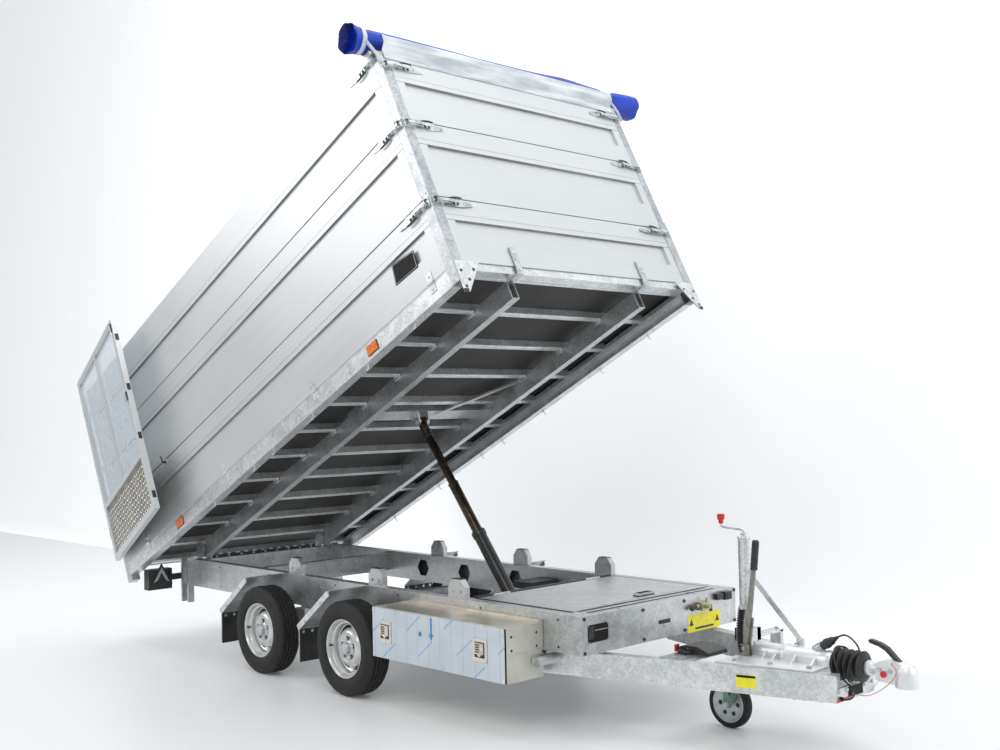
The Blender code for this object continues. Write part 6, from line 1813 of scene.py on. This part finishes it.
class TRAILER_OT_jockey(bpy.types.Operator):
    """Make the jockey wheel's tube, crank, clamp, stay, fork and wheel"""
    bl_idname = "trailer.jockey"
    bl_label = "Jockey wheel"

    def execute(self, context):
        x, y = JOCKEY
        tube = Shape()
        bore = 0.0253
        tube.lathe([(bore, 0.405), (0.0295, 0.405), (0.0305, 0.409), (0.0305, 0.421),
                    (0.0295, 0.425), (0.0295, 0.905), (0.0312, 0.908), (0.0312, 0.921),
                    (0.0290, 0.9255), (0.0120, 0.9270), (0.0110, 0.936), (0.0, 0.936)],
                   "Z", (x, y, 0), 0, 48)
        # The bore inside the tube is painted dark: painted shade.
        tube.lathe([(bore, 0.4050), (bore, 0.9150), (0.0, 0.9150)], "Z", (x, y, 0), 1, 48)
        for k in range(MARKS):
            z = MARK_START + MARK_PITCH * k
            half = MARK_REACH if k % 5 else LONG_MARK_REACH
            for n in range(5):
                a = math.radians(MARK_ANGLE) + half * (n - 2) / 2
                spot = Vector((x + MARK_OUT * math.cos(a), y + MARK_OUT * math.sin(a), z))
                away = Vector((math.cos(a), math.sin(a), 0)) * 0.0006
                tube.rod(spot, spot + away, 0.0014, 2, 8)
        for low, high, rear, front in ((-0.040, 0.040, -0.040, -0.0302),
                                       (-0.040, -0.0302, -0.040, 0.060),
                                       (0.0302, 0.040, -0.040, 0.060),
                                       (-0.040, 0.040, 0.0302, 0.060)):
            tube.box((x + low, x + high), (y + rear, y + front), (0.430, 0.490), 0)
        tube.box((x - 0.030, x + 0.030), (y + 0.050, 0.305), (0.440, 0.452), 0)
        tube.box((x - 0.030, x + 0.030), (0.280, 0.305), (FLANGE_LOW, 0.450), 0)
        tube.bolt((x, 0.2925, 0.452), (0, 0, 1), 0.017, 0.009, 3)
        tube.rod((x + 0.010, y - 0.040, 0.460), (x + 0.010, y - 0.058, 0.460), 0.007, 3)
        tube.tube([(x + 0.010, y - 0.056, 0.460), (x + 0.034, y - 0.060, 0.470),
                   (x + 0.070, y - 0.060, 0.474)], 0.0055, 3, 12)
        tube.ball((x + 0.074, y - 0.060, 0.4745), 0.009, 3)
        stay = [Vector((x + 0.024, y, 0.752)), Vector((x + 0.308, 0.030, 0.466))]
        run = (stay[1] - stay[0]).normalized()
        side = Vector((0, 1, 0))
        up = run.cross(side).normalized()
        frame_matrix = Matrix((run, side, up)).transposed().to_4x4()
        frame_matrix = Matrix.Translation((stay[0] + stay[1]) / 2) @ frame_matrix
        reach = (stay[1] - stay[0]).length / 2
        tube.box((-reach, reach), (-0.0035, 0.0035), (-0.0125, 0.0125), 0, frame_matrix)
        for spot in stay:
            for half, r, mat, steps in ((0.0035, 0.0145, 0, 24), (0.010, 0.0065, 3, 6)):
                tube.rod(spot - side * half, spot + side * half, r, mat, steps)
        for low, high in ((-0.009, -0.0040), (0.0040, 0.009)):
            tube.box((x + 0.014, x + 0.040), (y + low, y + high), (0.738, 0.766), 0)
        tube.box((x + 0.290, x + 0.328), (0.012, 0.0255), (0.4462, 0.482), 0)
        crank = [(x, y, 0.930), (x, y, 0.944), (x - 0.004, y, 0.952), (x - 0.014, y, 0.9565),
                 (x - 0.100, y, 0.9620), (x - 0.120, y, 0.9635), (x - 0.129, y, 0.9680),
                 (x - 0.132, y, 0.978), (x - 0.132, y, 0.986)]
        tube.tube(smooth_route([Vector(p) for p in crank], 40), 0.0052, 3, 12)
        tube.lathe([(0.0, 0.980), (0.0100, 0.980), (0.0120, 0.986), (0.0120, 0.996),
                    (0.0175, 1.001), (0.0185, 1.006), (0.0185, 1.022), (0.0170, 1.026),
                    (0.0, 1.0275)], "Z", (x - 0.132, y, 0), 4, 32)
        tube.rod((x - 0.006, y - 0.016, 0.938), (x + 0.006, y + 0.016, 0.938), 0.005, 3)
        obj = tube.piece("jockey_tube", "chassis", ("bright", "dark", "grey", "latch", "red"),
                         CHASSIS, 0.0008)
        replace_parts(obj, "jockey_outer_tube")

        place = CHASSIS @ Matrix.Translation((x, y, FORK_TURN_Z))
        fork = Shape()
        fork.lathe([(0.0, 0.0), (0.0235, 0.0), (0.0235, -0.004), (0.030, -0.006), (0.030, -0.012),
                    (0.0, -0.012)], "Z", (0, 0, 0), 0, 32)
        fork.box((-0.125, 0.030), (-0.0365, 0.0365), (-0.012, -0.0075), 0)
        for side in SIDES:
            edge = both(side, 0.0301, 0.0345)
            ring = [(-0.123, -0.120), (-0.118, -0.142), (-0.105, -0.152), (-0.088, -0.146),
                    (-0.078, -0.132), (-0.040, -0.075), (0.028, -0.030), (0.030, -0.009),
                    (-0.124, -0.009)]
            fork.prism(ring, "Y", *edge)
            fork.bolt((-AXLE_BACK, side * 0.0345, -AXLE_DOWN), (0, side, 0), 0.018, 0.007, 1)
            for u, w in ((-0.060, -0.050), (-0.085, -0.080), (-0.020, -0.028)):
                fork.rod((u, side * 0.034, w), (u, side * 0.0352, w), 0.008, 2, 20)
        obj = fork.piece("caster_fork", "jockey_caster", ("green", "latch", "dark"), place, 0.0015)
        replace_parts(obj, "jockey_fork")
        hub = place @ Matrix.Translation((-AXLE_BACK, 0, -AXLE_DOWN))
        wheel = Shape()
        half = CASTER_HALF
        wheel.lathe(caster_section(CASTER_TREAD), "Y", steps=64, closed=True)
        wheel.lathe(caster_section(CASTER_DISC), "Y", mat=1, steps=64)
        # Six dark discs on each side of the wheel's disc: painted shade in its holes.
        for k in range(6):
            a = math.tau * k / 6
            for side in SIDES:
                spot = Vector((0.050 * math.cos(a), side * (half - 0.0125), 0.050 * math.sin(a)))
                wheel.rod(spot, spot + Vector((0, side * 0.001, 0)), 0.011, 2, 20)
        obj = wheel.piece("caster_wheel", "jockey_roller", ("tyre", "hub", "dark"), hub, angle=35)
        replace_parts(obj, "jockey_wheel")
        return {"FINISHED"}


# Cords

FACE_X = 3.0663          # the front plate's face, where both cords leave
COIL = 0.0735            # radius of the cable's turns round the bellows
CABLE_RADIUS, WIRE_RADIUS = 0.004, 0.0015


def smooth_route(knots, count, fine_steps=20):
    """Evenly spaced places on one smooth curve through the knots."""
    knots = [Vector(knot) for knot in knots]
    padded = [knots[0] * 2 - knots[1], *knots, knots[-1] * 2 - knots[-2]]
    fine = []
    for a, b, c, d in zip(padded, padded[1:], padded[2:], padded[3:]):
        for k in range(fine_steps):
            t = k / fine_steps
            fine.append(0.5 * (2 * b + (c - a) * t + (2 * a - 5 * b + 4 * c - d) * t * t
                               + (3 * b - a - 3 * c + d) * t ** 3))
    fine.append(knots[-1])
    reach = [0.0]
    for a, b in zip(fine, fine[1:]):
        reach.append(reach[-1] + (b - a).length)
    places, at = [], 0
    for k in range(count):
        want = reach[-1] * k / (count - 1)
        while at < len(fine) - 2 and reach[at + 1] < want:
            at += 1
        share = (want - reach[at]) / (reach[at + 1] - reach[at])
        places.append(fine[at].lerp(fine[at + 1], min(share, 1.0)))
    return places


def coil_place(degrees, x, radius):
    """A place round the bellows, at an angle from the top towards the right side."""
    angle = math.radians(degrees)
    return (x, -radius * math.sin(angle), HOUSING_Z + radius * math.cos(angle))


def cable_knots():
    """The places that the plug's cable passes, from the front plate back to the plug."""
    face = FACE_X
    knots = [(face, *CABLE_HOLE), (face + 0.012, *CABLE_HOLE), (face + 0.024, *CABLE_HOLE),
             (face + 0.040, -0.112, 0.280), (face + 0.045, -0.092, 0.292),
             (face + 0.033, -0.074, 0.312)]
    for k in range(5):
        share = k / 4
        knots.append(coil_place(140 - 110 * share, face - 0.018 - 0.056 * share,
                                COIL + 0.0095 - 0.006 * share ** 2))
    for k in range(1, 15):
        share = k / 14
        knots.append(coil_place(30 - 390 * share, face - 0.0795 + 0.012 * share, COIL))
    for k in range(1, 13):
        share = k / 12
        knots.append(coil_place(-360 - 340 * share, face - 0.0675 + 0.104 * share ** 1.2, COIL))
    run = (PLUG_TAIL - PLUG_NOSE).normalized()
    return knots + [(3.092, -0.013, 0.487), (3.070, -0.008, 0.508), (3.043, -0.003, 0.523),
                    (3.018, 0, 0.526), PLUG_TAIL + run * 0.010, PLUG_TAIL + run * TOUCH]


def wire_knots():
    """The places that the breakaway cable passes, from the front plate to the coupling."""
    face = FACE_X
    return [(face, *WIRE_HOLE), (3.090, -0.030, 0.283), (3.120, -0.038, 0.284),
            (3.154, -0.046, 0.291), (3.190, -0.051, 0.307), (3.227, -0.053, 0.332),
            (3.262, -0.054, 0.362), (3.284, -0.0545, 0.390), (3.290, -0.053, 0.414),
            (3.281, -0.052, 0.431), (3.267, -0.048, 0.4385), (3.262, -0.041, 0.439),
            (3.262, -0.034 - TOUCH, 0.439)]


def cord_piece(name, knots, count, radius, mat):
    """A cord as a bevelled curve along its route, with its length."""
    places = [CHASSIS @ p for p in smooth_route(knots, count)]
    curve = bpy.data.curves.new(name, "CURVE")
    curve.dimensions = "3D"
    curve.bevel_depth = radius
    curve.bevel_resolution = 3
    curve.use_fill_caps = True
    spline = curve.splines.new("POLY")
    spline.points.add(count - 1)
    for point, place in zip(spline.points, places):
        point.co = (*place, 1.0)
    curve.materials.append(MATERIALS[mat])
    obj = bpy.data.objects.new(name, curve)
    bpy.context.scene.collection.objects.link(obj)
    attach(obj, "chassis")
    length = sum((b - a).length for a, b in zip(places, places[1:]))
    return obj, places[0], length


class TRAILER_OT_cords(bpy.types.Operator):
    """Make the plug with its cable and the red breakaway cable"""
    bl_idname = "trailer.cords"
    bl_label = "Cords"

    def execute(self, context):
        run = PLUG_TAIL - PLUG_NOSE
        reach = run.length
        turn = run.normalized().to_track_quat("X", "Z").to_matrix().to_4x4()
        plug = Shape()
        profile = [(0.0, 0.0), (0.0185, 0.0), (0.0190, 0.002), (0.0190, 0.014), (0.0218, 0.016),
                   (0.0218, 0.034), (0.0190, 0.036), (0.0180, 0.056), (0.0150, 0.060)]
        for k in range(5):
            at = 0.063 + k * 0.0045
            profile += [(0.0135 - 0.0013 * k, at), (0.0115 - 0.0013 * k, at + 0.0022)]
        profile += [(0.0068, reach - 0.002), (0.0060, reach), (0.0, reach)]
        plug.lathe(profile, "X", steps=40)
        for k in range(10):
            a = math.tau * k / 10
            spot = (0.025, 0.0215 * math.cos(a), 0.0215 * math.sin(a))
            plug.rod((0.017, spot[1], spot[2]), (0.033, spot[1], spot[2]), 0.0016, 0, 6)
        obj = plug.piece("plug_body", "chassis", ("plastic",),
                         CHASSIS @ Matrix.Translation(PLUG_NOSE) @ turn, angle=35)
        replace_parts(obj, "plug")
        cable, start, length = cord_piece("plug_lead", cable_knots(), 220, CABLE_RADIUS, "rubber")
        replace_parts(cable, "plug_cable")
        wire, start, length = cord_piece("breakaway_wire", wire_knots(), 120, WIRE_RADIUS, "red")
        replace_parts(wire, "breakaway_cable")
        return {"FINISHED"}


# Rear

LIGHT_BAR_REAR = -1.690 - 0.060 - 2 * TOUCH
LAMP_DEPTH = 0.140
LAMP_FIELDS = ((0.700, 0.752, "wine"), (0.756, 0.808, "orange"), (0.812, 0.856, "webbing"))
LAMP_MATS = ("plastic", "wine", "orange", "webbing", "grey", "latch", "dark")
LAMP_RIBS, RIB_START, RIB_PITCH = 9, 0.390, 0.0125
TRIANGLE = (0.772, 0.452)                        # the reflector's middle: y, z
FLAP_HALF, FLAP_STEPS, FLAP_X = 0.44, 60, (-1.716, -1.712)
BEAM_BOLTS, REST_X = (-1.30, -0.70, 0.02, 0.62, 1.30, 1.85), (-0.42, 0.40, 1.10)


def triangle(centre, radius):
    """The corners of an upright triangle round a place."""
    return [(centre[0] + radius * math.cos(a), centre[1] + radius * math.sin(a))
            for a in (math.radians(90 + 120 * k) for k in range(3))]


class TRAILER_OT_rear(bpy.types.Operator):
    """Make the lamps, triangles, channel bolts and the flap behind the chassis"""
    bl_idname = "trailer.rear"
    bl_label = "Rear lamps"

    def execute(self, context):
        x, mats = LIGHT_BAR_REAR, LAMP_MATS
        back = x - LAMP_DEPTH
        for side, hand in HANDS:
            lamp = Shape()
            for low, high, mat in LAMP_FIELDS:
                y = both(side, low, high)
                lamp.box((back - 0.008, back), y, (0.380, 0.500), mats.index(mat))
                for k in range(LAMP_RIBS):
                    z = RIB_START + RIB_PITCH * k
                    lamp.box((back - 0.0095, back - 0.0075), (y[0] + 0.004, y[1] - 0.004),
                             (z, z + 0.004), mats.index(mat))
            centre = (side * TRIANGLE[0], TRIANGLE[1])
            ring = [(max(min(a, GUARD_OUT), -GUARD_OUT), b) for a, b in triangle(centre, 0.098)]
            lamp.prism(ring, "X", x - 0.0698, x - 0.0640, 0)
            tip, small = triangle(centre, 0.070), triangle(centre, 0.036)
            for k in range(2):
                n = (k + (1 if side > 0 else 2)) % 3
                m = (n + 1) % 3
                lamp.prism([tip[n], tip[m], small[m], small[n]], "X", x - 0.0642, x - 0.0622, 4)
            plate_y = both(side, 0.300, 0.440)
            lamp.box((x - 0.0830, x - 0.0802), plate_y, (0.436, 0.466), 5)
            for z in (0.320, 0.430, 0.540):
                lamp.bolt((x + 0.010, side * 0.6530, z), (0, side, 0), 0.015, 0.006, 5)
            lamp.rod((x + 0.055, side * 0.6076, 0.435), (x + 0.055, side * 0.6145, 0.435), 0.010, 0)
            lamp.piece(f"lamp_{hand}", "chassis", mats, CHASSIS, 0.0012)
        flap = Shape()
        ys = [-FLAP_HALF + 2 * FLAP_HALF * k / FLAP_STEPS for k in range(FLAP_STEPS + 1)]
        top = [(y, 0.585 + 0.004 * math.sin(y * 90)) for y in ys]
        flap.prism([(-FLAP_HALF, 0.5605), *top, (FLAP_HALF, 0.5605)], "X", *FLAP_X)
        for k in range(9):
            flap.bolt((FLAP_X[1], -0.40 + 0.1 * k, 0.570), (1, 0, 0), 0.011, 0.004, 1)
        flap.box((0.600, 0.750), (-0.540, -0.300), (0.480, 0.520), 0)
        flap.box((0.600, 0.750), (0.300, 0.540), (0.480, 0.520), 0)
        flap.piece("dirt_flap", "chassis", ("rubber", "latch"), CHASSIS, 0.001)
        beams = Shape()
        for side in SIDES:
            for px in BEAM_BOLTS:
                for z in (0.545, 0.415):
                    beams.rod((px, side * BEAM_OUT, z), (px, side * (BEAM_OUT + 0.002), z),
                              0.006, 1, 16)
            for axle in (-WHEEL_X, WHEEL_X):
                for px in (0.100, 0.200):
                    beams.bolt((axle + px, side * (BEAM_OUT - 0.030), BEAM_LOW - 0.001),
                               (0, 0, -1), 0.020, 0.012)
            for px in REST_X:
                for dx in (-0.030, 0.030):
                    beams.bolt((px + dx, side * (BEAM_OUT - 0.0120), BEAM_TOP + 0.035),
                               (0, side, 0), 0.014, 0.006)
                y = both(side, BEAM_OUT - 0.050, BEAM_OUT - 0.010)
                beams.box((px - 0.034, px + 0.034), y, (BEAM_TOP + 0.0975, BEAM_TOP + 0.1005), 2)
        beams.piece("beam_bolts", "chassis", ("latch", "dark", "rubber"), CHASSIS, 0.0008)
        return {"FINISHED"}


STEPS = ("stage", "finish", "cords", "boards", "posts", "rails", "tarpaulin", "leaves", "ram",
         "wheels", "guards", "front", "toolbox", "drawbar", "jockey", "rear")
CLASSES = [TrailerTone, TrailerStage, TrailerDetail, TRAILER_OT_stage, TRAILER_OT_finish,
           TRAILER_OT_cords, TRAILER_OT_boards, TRAILER_OT_posts, TRAILER_OT_rails,
           TRAILER_OT_tarpaulin, TRAILER_OT_leaves, TRAILER_OT_ram, TRAILER_OT_wheels,
           TRAILER_OT_guards, TRAILER_OT_front, TRAILER_OT_toolbox, TRAILER_OT_drawbar,
           TRAILER_OT_jockey, TRAILER_OT_rear]


class TRAILER_PT_panel(bpy.types.Panel):
    """The trailer's settings and steps"""
    bl_idname = "TRAILER_PT_panel"
    bl_label = "Dump trailer"
    bl_space_type = "VIEW_3D"
    bl_region_type = "UI"
    bl_category = "Trailer"

    def draw(self, context):
        for group in ("trailer_tone", "trailer_stage", "trailer_detail"):
            settings = getattr(context.scene, group)
            for key in settings.__annotations__:
                self.layout.prop(settings, key)
        for step in STEPS:
            self.layout.operator(f"trailer.{step}")


def register():
    for cls in (*CLASSES, TRAILER_PT_panel):
        bpy.utils.register_class(cls)
    bpy.types.Scene.trailer_tone = PointerProperty(type=TrailerTone)
    bpy.types.Scene.trailer_stage = PointerProperty(type=TrailerStage)
    bpy.types.Scene.trailer_detail = PointerProperty(type=TrailerDetail)


def unregister():
    for group in ("trailer_tone", "trailer_stage", "trailer_detail"):
        delattr(bpy.types.Scene, group)
    for cls in reversed((*CLASSES, TRAILER_PT_panel)):
        bpy.utils.unregister_class(cls)


def main():
    """Dress the trailer step by step."""
    register()
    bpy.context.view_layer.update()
    for step in STEPS:
        getattr(bpy.ops.trailer, step)()


if __name__ == "__main__":
    main()
